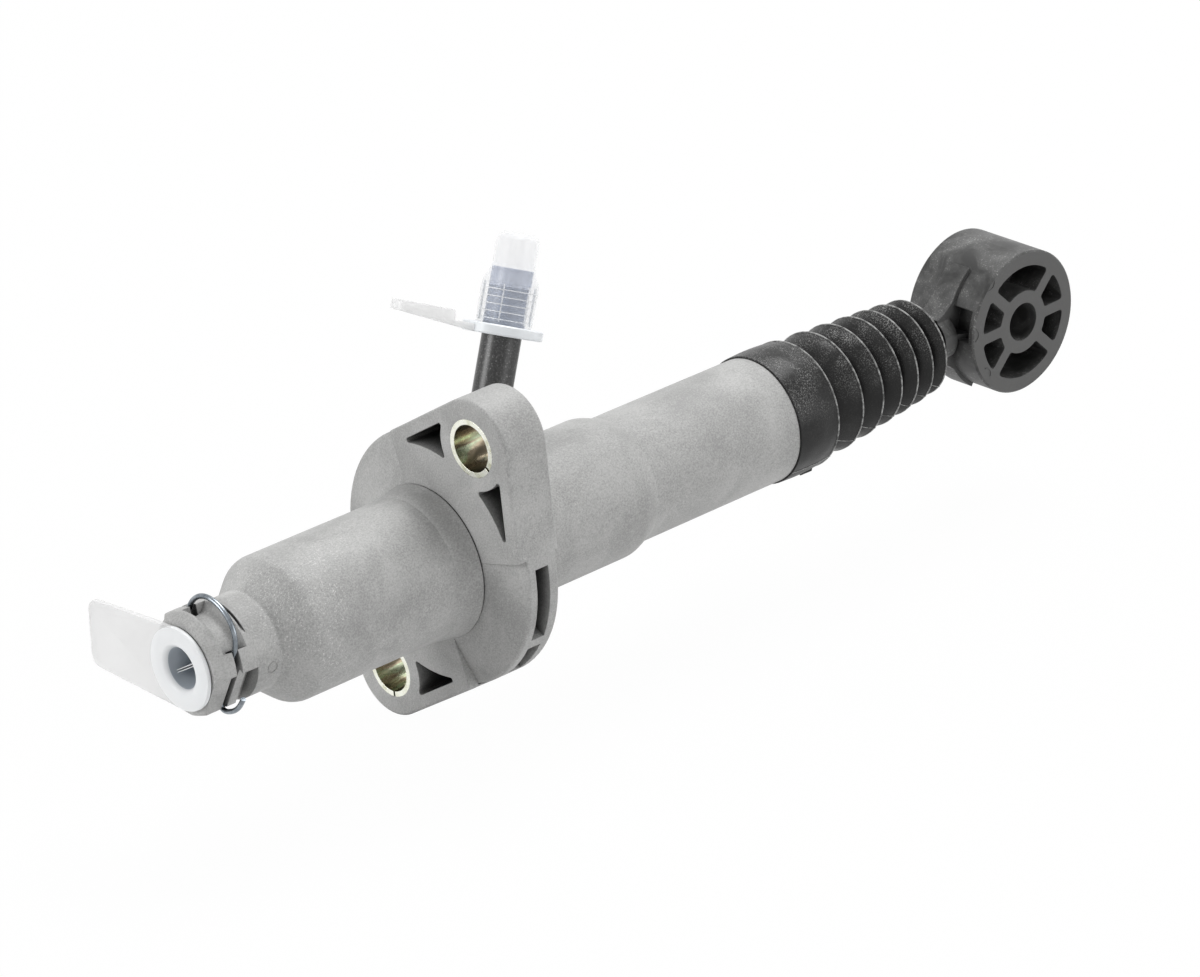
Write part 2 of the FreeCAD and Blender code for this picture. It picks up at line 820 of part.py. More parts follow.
def bellows_skin(inward):
    # Round folds with tight valleys; inward moves the skin under the outer one and widens its valleys
    places = [tube_end + step for step in crown_steps]
    radii = [radius - inward for radius in crown_radii]
    land = valley_land / 2 + inward * flank_wall / boot_wall
    edges = []
    start = None
    for i, (place, radius) in enumerate(zip(places, radii)):
        crown = V(place, radius, 0)
        if i + 1 < len(places):
            middle = (place + places[i + 1]) / 2
            valley = min(radius, radii[i + 1]) - valley_drop
            end = V(middle - land, valley, 0)
            following = V(middle + land, valley, 0)
        else:
            end = V(boot_end - boot_collar_length, boot_collar_radius - inward, 0)
            following = None
        if start:
            edges.append(Part.Arc(start, crown, end).toShape())
        else:
            half_way = V(
                place + (end.x - place) * crown_shoulder_run, radius - valley_drop * crown_shoulder_drop, 0)
            edges.append(Part.Arc(crown, half_way, end).toShape())
        if following:
            edges.append(Part.LineSegment(end, following).toShape())
        start = following
    return edges


def drawn_aside(solid, start):
    # Slants the bellows from its start so that its far end follows the leaning rod
    share = (boot_end - ball_place) / (boot_end - start)
    up = math.tan(math.radians(rod_rise_angle)) * share
    side = math.tan(math.radians(rod_side_angle)) * share
    slant = FreeCAD.Matrix(1, 0, 0, 0, side, 1, 0, -side * start, up, 0, 1, -up * start, 0, 0, 0, 1)
    return solid.transformGeometry(slant)


def bellows():
    # From the cuff's crest to the collar round the rod
    crest = tube_end + crown_steps[0]
    radius = crown_radii[0]
    bore = boot_land_radius + boot_rod_gap
    last = boot_end - boot_collar_length
    edges = bellows_skin(0) + bellows_skin(boot_wall) + edges_between((
        V(last, boot_collar_radius, 0), V(boot_end, boot_end_radius, 0), V(boot_end, bore, 0),
        V(last, bore, 0), V(last, boot_collar_radius - boot_wall, 0)))
    edges += edges_between((V(crest, radius - boot_wall, 0), V(crest, radius, 0)))
    solid = Part.Face(Part.Wire(Part.__sortEdges__(edges))).revolve(origin, axis_x, 360)
    return drawn_aside(solid, crest)


def boot():
    # Cuff gripping the end of the tube, bellows, and a small end collar round the rod
    seat = cuff_seat_radius
    crest = tube_end + crown_steps[0]
    radius = crown_radii[0]
    bead_end = cuff_bead_start + cuff_bead_length
    bulge = (cuff_start + crest) / 2
    cuff = turned((
        (cuff_start, seat), (cuff_start, cuff_lip_radius), (bulge, radius + cuff_bulge, cuff_bulge_round),
        (crest, radius), (crest, radius - boot_wall), (tube_end, radius - boot_wall),
        (tube_end, seat), (bead_end, seat), (bead_end, seat - cuff_bead_depth),
        (cuff_bead_start, seat - cuff_bead_depth), (cuff_bead_start, seat)))
    return cuff.fuse(bellows()).removeSplitter()


def wire_clip():
    # Arch over the head, two legs through its slots and a hook at each foot, as one bent wire
    half = clip_tail + clip_leg
    points = [(clip_shift - y, z) for y, z in half]
    points += [(clip_shift, clip_top)]
    points += [(clip_shift + y, z) for y, z in reversed(half)]
    curve = Part.BSplineCurve()
    curve.interpolate([V(clip_place, y, z) for y, z in points])
    path = Part.Wire([curve.toShape()])
    section = Part.makeCircle(wire_radius, curve.StartPoint, curve.tangent(curve.FirstParameter)[0])
    return leaned(path.makePipeShell([Part.Wire([section])], True, False))


def plug_tab():
    # Flat pull tab, a little narrower at its far end
    start = head_front - plug_flange_thickness
    corners = (
        (0, plug_tab_bottom[0]), (plug_tab_length, plug_tab_bottom[1], plug_tab_corners[1]),
        (plug_tab_length, plug_tab_top[1], plug_tab_corners[0]), (0, plug_tab_top[0]))
    return extruded_x(corners, start, head_front)


def outlet_plug():
    front = head_front - plug_flange_thickness
    collar = head_front + plug_collar_length
    nose = head_front + plug_nose_length
    disc = rod_x(plug_flange_radius, front, head_front).fuse(plug_tab())
    body = turned((
        (front, 0), (front, plug_nose_radius), (head_front, plug_nose_radius),
        (head_front, socket_radius - slip_gap), (collar, socket_radius - slip_gap),
        (collar, plug_nose_radius), (nose - plug_nose_edge, plug_nose_radius),
        (nose, plug_nose_radius - plug_nose_edge), (nose, 0)))
    hollow = turned((
        (front, 0), (front, plug_hole_radius + plug_mouth_chamfer),
        (front + plug_mouth_chamfer, plug_hole_radius), (nose - plug_floor, plug_hole_radius),
        (nose - plug_floor, 0)))
    body = disc.fuse(body).cut(hollow)
    reach = plug_hole_radius + slip_gap
    rib = box(collar, nose - plug_floor, -plug_rib / 2, plug_rib / 2, -reach, reach)
    return body.fuse(rib.common(rod_x(reach, collar, nose))).removeSplitter()


def outlet_seal():
    end = head_front + socket_depth
    return ring_x(socket_radius, plug_nose_radius + slip_gap, end - outlet_seal_length, end)


def outlet_seal_bush():
    end = head_front + socket_depth - outlet_seal_length
    return ring_x(socket_radius, outlet_bush_bore, end - outlet_bush_length, end)


def inlet_pipe():
    solid = turned_z((
        (pipe_bore, pipe_foot), (pipe_radius, pipe_foot),
        (pipe_radius, pipe_bead_place - pipe_bead), (pipe_radius + pipe_bead, pipe_bead_place),
        (pipe_radius + pipe_bead, pipe_bead_place + pipe_bead),
        (pipe_radius, pipe_bead_place + 2 * pipe_bead),
        (pipe_radius, pipe_top - pipe_edge), (pipe_radius - pipe_edge, pipe_top), (pipe_bore, pipe_top)))
    return onto_inlet(solid)


def inlet_grommet():
    bead = pipe_radius + pipe_bead
    top = inlet_boss_top + grommet_flange
    solid = turned_z((
        (pipe_bore, inlet_counterbore_floor), (inlet_counterbore, inlet_counterbore_floor),
        (inlet_counterbore, inlet_boss_top), (grommet_flange_radius, inlet_boss_top),
        (grommet_flange_radius, top), (pipe_radius, top),
        (pipe_radius, pipe_bead_place + 2 * pipe_bead), (bead, pipe_bead_place + pipe_bead),
        (bead, pipe_bead_place), (pipe_radius, pipe_bead_place - pipe_bead),
        (pipe_radius, pipe_foot), (pipe_bore, pipe_foot)))
    return onto_inlet(solid)


def cap_tab():
    # Rising grip on a thinner bridge, rounded at its far corners
    half = cap_tab_width / 2
    base = cap_rim_place
    side = (
        (0, base), (cap_rim_radius, base), (cap_tab_length, base + cap_tab_rise),
        (cap_tab_length, base + cap_tab_rise + cap_tab_end),
        (cap_tab_bridge_end, base + cap_tab_root), (cap_tab_bridge_end, base + cap_tab_bridge),
        (0, base + cap_tab_bridge))
    grip = face_of(side, lambda p: V(p.x, -half, p.y)).extrude(V(0, cap_tab_width, 0))
    plan = (
        (0, -half), (cap_tab_length, -half, cap_tab_corner), (cap_tab_length, half, cap_tab_corner),
        (0, half))
    outline = face_of(plan, lambda p: V(p.x, p.y, 0)).extrude(V(0, 0, cap_top))
    return grip.common(outline).rotated(origin, axis_z, cap_tab_turn)


def inlet_cap():
    rim_top = cap_rim_place + cap_rim_thickness
    mouth = cap_rim_place - cap_rim_thickness
    shell = turned_z((
        (0, cap_rim_place), (cap_rim_radius, cap_rim_place), (cap_rim_radius, rim_top),
        (cap_skirt_radius, rim_top), (cap_bell_radius, cap_bell_end - cap_bell_land),
        (cap_bell_radius, cap_bell_end), (cap_nipple_radius, cap_nipple_start),
        (cap_nipple_radius, cap_top - cap_top_chamfer),
        (cap_nipple_radius - cap_top_chamfer, cap_top), (0, cap_top)))
    inside = turned_z((
        (0, mouth), (pipe_radius + slip_gap, mouth),
        (pipe_radius + slip_gap, pipe_top + free_gap), (cap_nipple_bore, cap_nipple_start),
        (cap_nipple_bore, cap_top - cap_roof), (0, cap_top - cap_roof)))
    return onto_inlet(shell.fuse(cap_tab()).cut(inside).removeSplitter())


primary_start = seal_start
secondary_start = seal_start + seal_length + feed_ring_length

save(cylinder_body(), "cylinder_body")
save(flange_sleeve(1), "flange_sleeve_upper")
save(flange_sleeve(-1), "flange_sleeve_lower")
save(lip_seal(primary_start), "primary_seal")
save(feed_ring(), "feed_ring")
save(lip_seal(secondary_start), "secondary_seal")
save(bearing_bush(), "bearing_bush")
save(stop_ring(), "stop_ring")
save(piston(), "piston")
save(piston_guide_ring(), "piston_guide_ring")
save(ball_retainer(), "ball_retainer")
save(spring_seat(), "spring_seat")
save(return_spring(), "return_spring")
save(pushrod_eye(), "pushrod_eye")
save(boot(), "boot")
save(wire_clip(), "wire_clip")
save(outlet_seal(), "outlet_seal")
save(outlet_seal_bush(), "outlet_seal_bush")
save(outlet_plug(), "outlet_plug")
save(inlet_grommet(), "inlet_grommet")
save(inlet_pipe(), "inlet_pipe")
save(inlet_cap(), "inlet_cap")
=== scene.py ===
import json
import math

import bmesh
import bpy
from mathutils import Matrix, Vector


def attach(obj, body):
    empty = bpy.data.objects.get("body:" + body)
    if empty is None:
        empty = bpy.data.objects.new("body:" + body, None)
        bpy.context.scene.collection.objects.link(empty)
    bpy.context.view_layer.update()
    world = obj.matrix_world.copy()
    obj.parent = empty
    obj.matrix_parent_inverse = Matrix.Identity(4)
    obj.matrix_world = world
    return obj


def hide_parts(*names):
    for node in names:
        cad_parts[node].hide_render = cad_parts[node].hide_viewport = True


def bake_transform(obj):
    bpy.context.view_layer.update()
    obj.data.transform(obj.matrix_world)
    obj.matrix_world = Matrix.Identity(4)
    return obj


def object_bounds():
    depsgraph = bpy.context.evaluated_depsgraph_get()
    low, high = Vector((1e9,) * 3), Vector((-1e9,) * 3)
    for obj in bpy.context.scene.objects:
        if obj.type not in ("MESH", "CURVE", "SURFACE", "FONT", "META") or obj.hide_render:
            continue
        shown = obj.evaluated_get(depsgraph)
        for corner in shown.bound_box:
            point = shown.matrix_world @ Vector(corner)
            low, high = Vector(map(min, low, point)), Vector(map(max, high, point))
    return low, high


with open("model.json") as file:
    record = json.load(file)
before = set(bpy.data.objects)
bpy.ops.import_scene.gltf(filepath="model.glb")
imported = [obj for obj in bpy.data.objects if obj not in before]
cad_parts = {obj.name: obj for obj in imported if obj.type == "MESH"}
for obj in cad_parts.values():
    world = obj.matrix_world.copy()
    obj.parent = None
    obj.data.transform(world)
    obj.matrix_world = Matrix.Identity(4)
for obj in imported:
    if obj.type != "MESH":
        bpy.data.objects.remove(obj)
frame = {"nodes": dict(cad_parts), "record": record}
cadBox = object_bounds()
nodes = frame["nodes"]
mm = 0.001  # Sizes below are in millimetres, where a note doesn't say otherwise
print("frame loaded:", len(nodes), "nodes")


# Small helpers for the node trees

def newMaterial(name):
    material = bpy.data.materials.new(name)
    material.use_nodes = True
    tree = material.node_tree
    shader = next(n for n in tree.nodes if n.type == "BSDF_PRINCIPLED")
    return material, tree, shader


def addNode(tree, kind, inputs=None, **settings):
    node = tree.nodes.new(kind)
    for key, value in settings.items():
        setattr(node, key, value)
    for key, value in (inputs or {}).items():
        node.inputs[key].default_value = value
    return node


def setSockets(shader, values):
    for name, value in values.items():
        shader.inputs[name].default_value = value


def objectSpace(tree, scale=(1, 1, 1), turn=(0, 0, 0)):
    coordinates = addNode(tree, "ShaderNodeTexCoord")
    mapping = addNode(tree, "ShaderNodeMapping", {"Scale": scale, "Rotation": turn})
    tree.links.new(coordinates.outputs["Object"], mapping.inputs["Vector"])
    return mapping.outputs["Vector"]


def noise(tree, where, scale, detail, roughness, distortion=0.0):
    node = addNode(tree, "ShaderNodeTexNoise", {
        "Scale": scale, "Detail": detail, "Roughness": roughness, "Distortion": distortion})
    tree.links.new(where, node.inputs["Vector"])
    return node.outputs["Fac"]


def remap(tree, value, low, high, toLow, toHigh):
    node = addNode(tree, "ShaderNodeMapRange", {
        "From Min": low, "From Max": high, "To Min": toLow, "To Max": toHigh})
    tree.links.new(value, node.inputs["Value"])
    return node.outputs["Result"]


def combine(tree, operation, a, b):
    node = addNode(tree, "ShaderNodeMath", operation=operation)
    for socket, value in ((node.inputs[0], a), (node.inputs[1], b)):
        if isinstance(value, (int, float)):
            socket.default_value = value
        else:
            tree.links.new(value, socket)
    return node.outputs["Value"]


def times(tree, a, b):
    return combine(tree, "MULTIPLY", a, b)


def colours(tree, value, stops):
    ramp = addNode(tree, "ShaderNodeValToRGB")
    elements = ramp.color_ramp.elements
    while len(elements) < len(stops):
        elements.new(0.5)
    for element, (place, colour) in zip(elements, stops):
        element.position = place
        element.color = (*colour, 1.0)
    tree.links.new(value, ramp.inputs["Fac"])
    return ramp.outputs["Color"]


def mixed(tree, amount, first, second):
    mix = addNode(tree, "ShaderNodeMix", data_type="RGBA")
    for socket, value in ((mix.inputs["A"], first), (mix.inputs["B"], second)):
        if isinstance(value, tuple):
            socket.default_value = (*value, 1.0)
        else:
            tree.links.new(value, socket)
    tree.links.new(amount, mix.inputs["Factor"])
    return mix.outputs["Result"]


# From one colour to another across a span of a pattern
def between(tree, pattern, span, first, last):
    return colours(tree, pattern, ((span[0], first), (span[1], last)))


# Shared by the finishes: how warm a grey is, the darkest painted shade deep inside, the samples of
# painted shade and soft edges, and the span of a pattern that sets the roughness
surface = {
    "warmth": 0.985, "deepestPaintedShade": (0.004, 0.004, 0.004), "shadeSamples": 8, "edgeSamples": 6,
    "roughSpan": (0.3, 0.7),
}


def grey(level):
    return (level, level, level * surface["warmth"])


# One part of the way that a surface looks
def facing(tree, axis):
    geometry = addNode(tree, "ShaderNodeNewGeometry")
    parts = addNode(tree, "ShaderNodeSeparateXYZ")
    tree.links.new(geometry.outputs["Normal"], parts.inputs["Vector"])
    return parts.outputs[axis]


# Paints shade deep inside slots, pockets and folds into a colour. The reach is in millimetres.
def shaded(tree, colour, reach, low, high, floorLevel):
    near = addNode(tree, "ShaderNodeAmbientOcclusion", {"Distance": reach * mm},
                   samples=surface["shadeSamples"])
    depth = remap(tree, near.outputs["AO"], low, high, floorLevel, 1.0)
    return mixed(tree, depth, surface["deepestPaintedShade"], colour)


def roughen(tree, shader, pattern, low, high):
    amount = remap(tree, pattern, *surface["roughSpan"], low, high)
    tree.links.new(amount, shader.inputs["Roughness"])


# Height and soft edge are in millimetres
def bump(tree, shader, pattern, strength, height, edge=0.0):
    node = addNode(tree, "ShaderNodeBump", {"Strength": strength, "Distance": height * mm})
    tree.links.new(pattern, node.inputs["Height"])
    if edge:
        soft = addNode(tree, "ShaderNodeBevel", {"Radius": edge * mm},
                       samples=surface["edgeSamples"])
        tree.links.new(soft.outputs["Normal"], node.inputs["Normal"])
    tree.links.new(node.outputs["Normal"], shader.inputs["Normal"])


# Finishes. Their dictionaries hold each pattern as (scale, detail, roughness, distortion), the
# painted shade as (reach, from, to, level deep inside) and the bump as (strength, height, soft
# edge).
# A Range is (from, to, value at from, value at to), and a Span is the first two alone.

# Grey glass-filled nylon of the body: cloudy tone, fine pale fibre flecks and a dry surface
greyNylon = {
    "dark": 0.3, "light": 0.46, "fleck": 0.8, "roughness": (0.47, 0.65), "specular": 0.4,
    "cloud": (85, 5.0, 0.62, 0.5), "cloudShare": 0.45, "grain": (3000, 2.0, 0.65),
    "fibre": (2300, 1.0, 0.5, 1.2), "fibreDraw": (1.0, 2.4, 1.0), "fibreTurn": (0.4, 0.5, 0.9),
    "fleckRange": (0.6, 0.7, 0.0, 1.0), "toneSpan": (0.4, 0.6),
    "zones": (60, 3.0, 0.6, 0.6), "zoneRange": (0.4, 0.64, 0.08, 0.75),
    "frontFade": (-30, 5), "frontLevels": (1.0, 0.3),
    "headFade": (-52, -42), "headLevels": (0.25, 1.0),
    "shade": (9, 0.15, 0.48, 0.12), "bump": (0.3, 0.04, 0.22),
}


def makeGreyNylon():
    finish = greyNylon
    material, tree, shader = newMaterial("greyNylon")
    where = objectSpace(tree)
    cloud = noise(tree, where, *finish["cloud"])
    grain = noise(tree, where, *finish["grain"])
    drawn = objectSpace(tree, finish["fibreDraw"], finish["fibreTurn"])
    flecks = remap(tree, noise(tree, drawn, *finish["fibre"]), *finish["fleckRange"])
    # The fibres show most on the front cylinder and its shoulder
    along = addNode(tree, "ShaderNodeSeparateXYZ")
    tree.links.new(where, along.inputs["Vector"])
    frontStart, frontEnd = finish["frontFade"]
    headStart, headEnd = finish["headFade"]
    place = along.outputs["X"]
    front = remap(tree, place, frontStart * mm, frontEnd * mm, *finish["frontLevels"])
    head = remap(tree, place, headStart * mm, headEnd * mm, *finish["headLevels"])
    zones = remap(tree, noise(tree, where, *finish["zones"]), *finish["zoneRange"])
    zones = times(tree, zones, times(tree, front, head))
    tone = combine(tree, "ADD", times(tree, cloud, finish["cloudShare"]),
                   times(tree, grain, 1.0 - finish["cloudShare"]))
    base = between(tree, tone, finish["toneSpan"], grey(finish["dark"]), grey(finish["light"]))
    base = mixed(tree, times(tree, flecks, zones), base, grey(finish["fleck"]))
    tree.links.new(shaded(tree, base, *finish["shade"]), shader.inputs["Base Color"])
    roughen(tree, shader, grain, *finish["roughness"])
    setSockets(shader, {"Specular IOR Level": finish["specular"]})
    bump(tree, shader, combine(tree, "ADD", grain, flecks), *finish["bump"])
    return material


# Black rubber of the bellows: dark, with a soft sheen, and pale specks on what looks upwards that
# are partly dust and partly a painted highlight on the tops of the folds
bellowsRubber = {
    "dark": 0.005, "light": 0.013, "dustAndHighlight": 0.42, "roughness": (0.26, 0.46), "specular": 0.25,
    "patches": (150, 4.0, 0.62, 0.5), "toneSpan": (0.35, 0.7),
    "patchRange": (0.4, 0.64, 0.08, 0.75),
    "dustAndHighlightGrain": (4200, 1.0, 0.6), "dustAndHighlightRange": (0.5, 0.7, 0.0, 1.0),
    "upwardDustAndHighlightRange": (0.1, 0.85, 0.06, 1.0),
    "dents": (130, 1.0, 0.4), "dentHeight": 9.0, "dustHeight": 0.12,
    "shade": (5, 0.2, 0.8, 0.1), "bump": (0.6, 0.12),
}


def makeBellowsRubber():
    finish = bellowsRubber
    material, tree, shader = newMaterial("bellowsRubber")
    where = objectSpace(tree)
    patches = noise(tree, where, *finish["patches"])
    # Pale specks where the rubber looks upwards: partly dust, partly a painted highlight on the
    # fold tops
    dustAndHighlight = remap(tree, noise(tree, where, *finish["dustAndHighlightGrain"]), *finish["dustAndHighlightRange"])
    upwardDustAndHighlight = remap(tree, facing(tree, "Z"), *finish["upwardDustAndHighlightRange"])
    base = between(tree, patches, finish["toneSpan"], grey(finish["dark"]), grey(finish["light"]))
    amount = times(tree, dustAndHighlight, remap(tree, patches, *finish["patchRange"]))
    base = mixed(tree, times(tree, amount, upwardDustAndHighlight), base, grey(finish["dustAndHighlight"]))
    tree.links.new(shaded(tree, base, *finish["shade"]), shader.inputs["Base Color"])
    roughen(tree, shader, patches, *finish["roughness"])
    setSockets(shader, {"Specular IOR Level": finish["specular"]})
    dents = times(tree, noise(tree, where, *finish["dents"]), finish["dentHeight"])
    height = combine(tree, "ADD", dents, times(tree, dustAndHighlight, finish["dustHeight"]))
    bump(tree, shader, height, *finish["bump"])
    return material


# Rubber painted pale on the crests and the parting line of the bellows: partly wear, partly a
# painted highlight along these ridges
crestWearAndHighlight = {
    "dark": 0.05, "light": 0.34, "roughness": 0.34, "wearAndHighlight": (900, 3.0, 0.6),
    "toneSpan": (0.38, 0.6), "bump": (0.2, 0.02),
}


def makeBellowsCrest():
    finish = crestWearAndHighlight
    material, tree, shader = newMaterial("bellowsCrest")
    wearAndHighlight = noise(tree, objectSpace(tree), *finish["wearAndHighlight"])
    tone = between(tree, wearAndHighlight, finish["toneSpan"], grey(finish["dark"]), grey(finish["light"]))
    tree.links.new(tone, shader.inputs["Base Color"])
    setSockets(shader, {"Roughness": finish["roughness"]})
    bump(tree, shader, wearAndHighlight, *finish["bump"])
    return material


# Black glass-filled nylon of the pushrod: plain dark grey faces, cloudy speckled sides
blackNylon = {
    "dark": 0.028, "light": 0.115, "fleck": 0.36, "face": 0.095, "roughness": (0.38, 0.56),
    "specular": 0.35, "cloud": (120, 5.0, 0.62, 0.6), "grain": (2800, 1.0, 0.6),
    "toneSpan": (0.38, 0.66), "fleckRange": (0.58, 0.7, 0.0, 1.0),
    "flatRange": (0.95, 0.99, 0.0, 0.9), "zoneRange": (0.44, 0.66, 0.0, 0.75),
    "shade": (5, 0.2, 0.68, 0.08), "bump": (0.3, 0.03, 0.25),
}


def makeBlackNylon():
    finish = blackNylon
    material, tree, shader = newMaterial("blackNylon")
    where = objectSpace(tree)
    cloud = noise(tree, where, *finish["cloud"])
    grain = noise(tree, where, *finish["grain"])
    flecks = remap(tree, grain, *finish["fleckRange"])
    base = between(tree, cloud, finish["toneSpan"], grey(finish["dark"]), grey(finish["light"]))
    # The moulded end faces look straight along the pin and are even in tone
    straight = combine(tree, "ABSOLUTE", facing(tree, "Y"), 0.0)
    flat = remap(tree, straight, *finish["flatRange"])
    even = mixed(tree, flat, base, grey(finish["face"]))
    zones = remap(tree, cloud, *finish["zoneRange"])
    side = combine(tree, "SUBTRACT", 1.0, flat)
    amount = times(tree, times(tree, flecks, zones), side)
    tone = mixed(tree, amount, even, grey(finish["fleck"]))
    tree.links.new(shaded(tree, tone, *finish["shade"]), shader.inputs["Base Color"])
    roughen(tree, shader, cloud, *finish["roughness"])
    setSockets(shader, {"Specular IOR Level": finish["specular"]})
    bump(tree, shader, grain, *finish["bump"])
    return material


# Speckled black plastic of the inlet pipe
pipePlastic = {
    "tones": ((0.42, 0.016), (0.6, 0.04), (0.74, 0.2)), "roughness": 0.3,
    "grain": (2600, 2.0, 0.65), "bump": (0.4, 0.04),
}


def makePipePlastic():
    finish = pipePlastic
    material, tree, shader = newMaterial("pipePlastic")
    grain = noise(tree, objectSpace(tree), *finish["grain"])
    tone = colours(tree, grain, [(place, grey(level)) for place, level in finish["tones"]])
    tree.links.new(tone, shader.inputs["Base Color"])
    setSockets(shader, {"Roughness": finish["roughness"]})
    bump(tree, shader, grain, *finish["bump"])
    return material


# Milky polythene of the shipping plug and cap. The depth that light goes in is in millimetres.
milkyPlastic = {
    "alpha": 0.62, "low": (0.84, 0.87, 0.9), "high": (0.93, 0.945, 0.955),
    "roughness": 0.3, "glow": 0.3, "glowDepth": 0.8,
    "cloud": (90, 2.0, 0.5), "toneSpan": (0.3, 0.7),
    "ripple": (700, 2.0, 0.5), "bump": (0.08, 0.05),
}


def makeMilkyPlastic(name, alpha=milkyPlastic["alpha"], low=milkyPlastic["low"],
                     high=milkyPlastic["high"]):
    finish = milkyPlastic
    material, tree, shader = newMaterial(name)
    where = objectSpace(tree)
    tone = between(tree, noise(tree, where, *finish["cloud"]), finish["toneSpan"], low, high)
    tree.links.new(tone, shader.inputs["Base Color"])
    setSockets(shader, {
        "Alpha": alpha, "Roughness": finish["roughness"], "Subsurface Weight": finish["glow"],
        "Subsurface Radius": (1.0, 1.0, 1.0), "Subsurface Scale": finish["glowDepth"] * mm})
    bump(tree, shader, noise(tree, where, *finish["ripple"]), *finish["bump"])
    return material


# Yellow passivated zinc: pale rims, and a bore banded with the passivate's green, gold and rose,
# and with near black, which is painted shade inside the bore
yellowZinc = {
    "bore": ((0.3, (0.03, 0.03, 0.02)), (0.4, (0.12, 0.1, 0.07)), (0.47, (0.3, 0.25, 0.18)),
             (0.53, (0.36, 0.42, 0.29)), (0.6, (0.58, 0.6, 0.45)), (0.68, (0.2, 0.15, 0.12)),
             (0.76, (0.06, 0.08, 0.05))),
    "rim": ((0.32, (0.66, 0.66, 0.5)), (0.5, (0.86, 0.87, 0.76)), (0.7, (0.93, 0.93, 0.86))),
    "bands": (210, 3.0, 0.55, 0.8), "bandDraw": (0.25, 1.0, 1.0), "rimCloud": (500, 3.0, 0.6),
    "flatRange": (0.5, 0.8, 0.0, 1.0),
    "polish": (900, 2.0, 0.6), "roughness": (0.22, 0.36),
    "grain": (1600, 2.0, 0.6), "bump": (0.2, 0.02, 0.15),
}


def makeYellowZinc():
    finish = yellowZinc
    material, tree, shader = newMaterial("yellowZinc")
    where = objectSpace(tree)
    # Bands run along the bore, so the pattern is drawn out in X
    bands = noise(tree, objectSpace(tree, finish["bandDraw"]), *finish["bands"])
    # The bore's bands are partly the passivate's own tints and partly painted shade, darker than
    # the rims
    inner = colours(tree, bands, finish["bore"])
    rim = colours(tree, noise(tree, where, *finish["rimCloud"]), finish["rim"])
    straight = combine(tree, "ABSOLUTE", facing(tree, "X"), 0.0)
    flat = remap(tree, straight, *finish["flatRange"])
    tree.links.new(mixed(tree, flat, inner, rim), shader.inputs["Base Color"])
    setSockets(shader, {"Metallic": 1.0})
    roughen(tree, shader, noise(tree, where, *finish["polish"]), *finish["roughness"])
    bump(tree, shader, noise(tree, where, *finish["grain"]), *finish["bump"])
    return material


# Bright zinc on spring wire, a little blue
zincWire = {
    "dark": (0.15, 0.17, 0.19), "light": (0.32, 0.35, 0.38), "roughness": (0.2, 0.34),
    "cloud": (400, 3.0, 0.6), "toneSpan": (0.35, 0.65),
    "grain": (1500, 2.0, 0.6), "bump": (0.15, 0.02),
}


def makeZincWire():
    finish = zincWire
    material, tree, shader = newMaterial("zincWire")
    where = objectSpace(tree)
    cloud = noise(tree, where, *finish["cloud"])
    tone = between(tree, cloud, finish["toneSpan"], finish["dark"], finish["light"])
    tree.links.new(tone, shader.inputs["Base Color"])
    setSockets(shader, {"Metallic": 1.0})
    grain = noise(tree, where, *finish["grain"])
    roughen(tree, shader, grain, *finish["roughness"])
    bump(tree, shader, grain, *finish["bump"])
    return material


# Plain finishes of the hidden pieces: dark and light tone, roughness, metallic
innerFinishes = {
    "cloud": (300, 3.0, 0.6), "toneSpan": (0.35, 0.65),
    "sealRubber": ((0.02, 0.02, 0.02), (0.045, 0.045, 0.045), 0.5, 0.0),
    "whiteAcetal": ((0.74, 0.74, 0.7), (0.82, 0.82, 0.78), 0.42, 0.0),
    "anodisedAluminium": ((0.6, 0.6, 0.62), (0.74, 0.74, 0.76), 0.32, 1.0),
}


def makeInnerFinish(name):
    low, high, roughness, metallic = innerFinishes[name]
    material, tree, shader = newMaterial(name)
    cloud = noise(tree, objectSpace(tree), *innerFinishes["cloud"])
    tone = between(tree, cloud, innerFinishes["toneSpan"], low, high)
    tree.links.new(tone, shader.inputs["Base Color"])
    setSockets(shader, {"Roughness": roughness, "Metallic": metallic})
    return material


finishes = {
    "grey_nylon": makeGreyNylon(),
    "bellows_rubber": makeBellowsRubber(),
    "black_nylon": makeBlackNylon(),
    "black_pipe_plastic": makePipePlastic(),
    "milky_cap_plastic": makeMilkyPlastic("milkyPlastic"),
    "yellow_zinc_steel": makeYellowZinc(),
    "zinc_spring_wire": makeZincWire(),
    "seal_rubber": makeInnerFinish("sealRubber"),
    "white_acetal": makeInnerFinish("whiteAcetal"),
    "anodised_aluminium": makeInnerFinish("anodisedAluminium"),
}
bellowsCrest = makeBellowsCrest()
for row in frame["record"]["subparts"]:
    mesh = nodes[row["node"]].data
    mesh.materials.clear()
    mesh.materials.append(finishes[row["material_slot"]])
print("materials made:", len(finishes))


# Mesh helpers. Profiles are (place along the axis, radius) in millimetres, turned about X.
seamWeld = 0.0005  # Closes seams and poles, in millimetres


def turnedShape(profile, steps, closed=True, sweep=360.0, startAngle=0.0):
    shape = bmesh.new()
    a = math.radians(startAngle)
    ring = [shape.verts.new((x * mm, r * mm * math.cos(a), r * mm * math.sin(a)))
            for x, r in profile]
    pairs = list(zip(ring, ring[1:])) + ([(ring[-1], ring[0])] if closed else [])
    lines = [shape.edges.new(pair) for pair in pairs]
    full = sweep == 360.0
    bmesh.ops.spin(shape, geom=ring + lines, cent=(0, 0, 0), axis=(1, 0, 0), dvec=(0, 0, 0),
                   angle=math.radians(sweep), steps=steps, use_merge=full, use_duplicate=False)
    bmesh.ops.remove_doubles(shape, verts=shape.verts, dist=seamWeld * mm)
    if not full:
        bmesh.ops.holes_fill(shape, edges=shape.edges, sides=0)
    bmesh.ops.recalc_face_normals(shape, faces=shape.faces)
    return shape


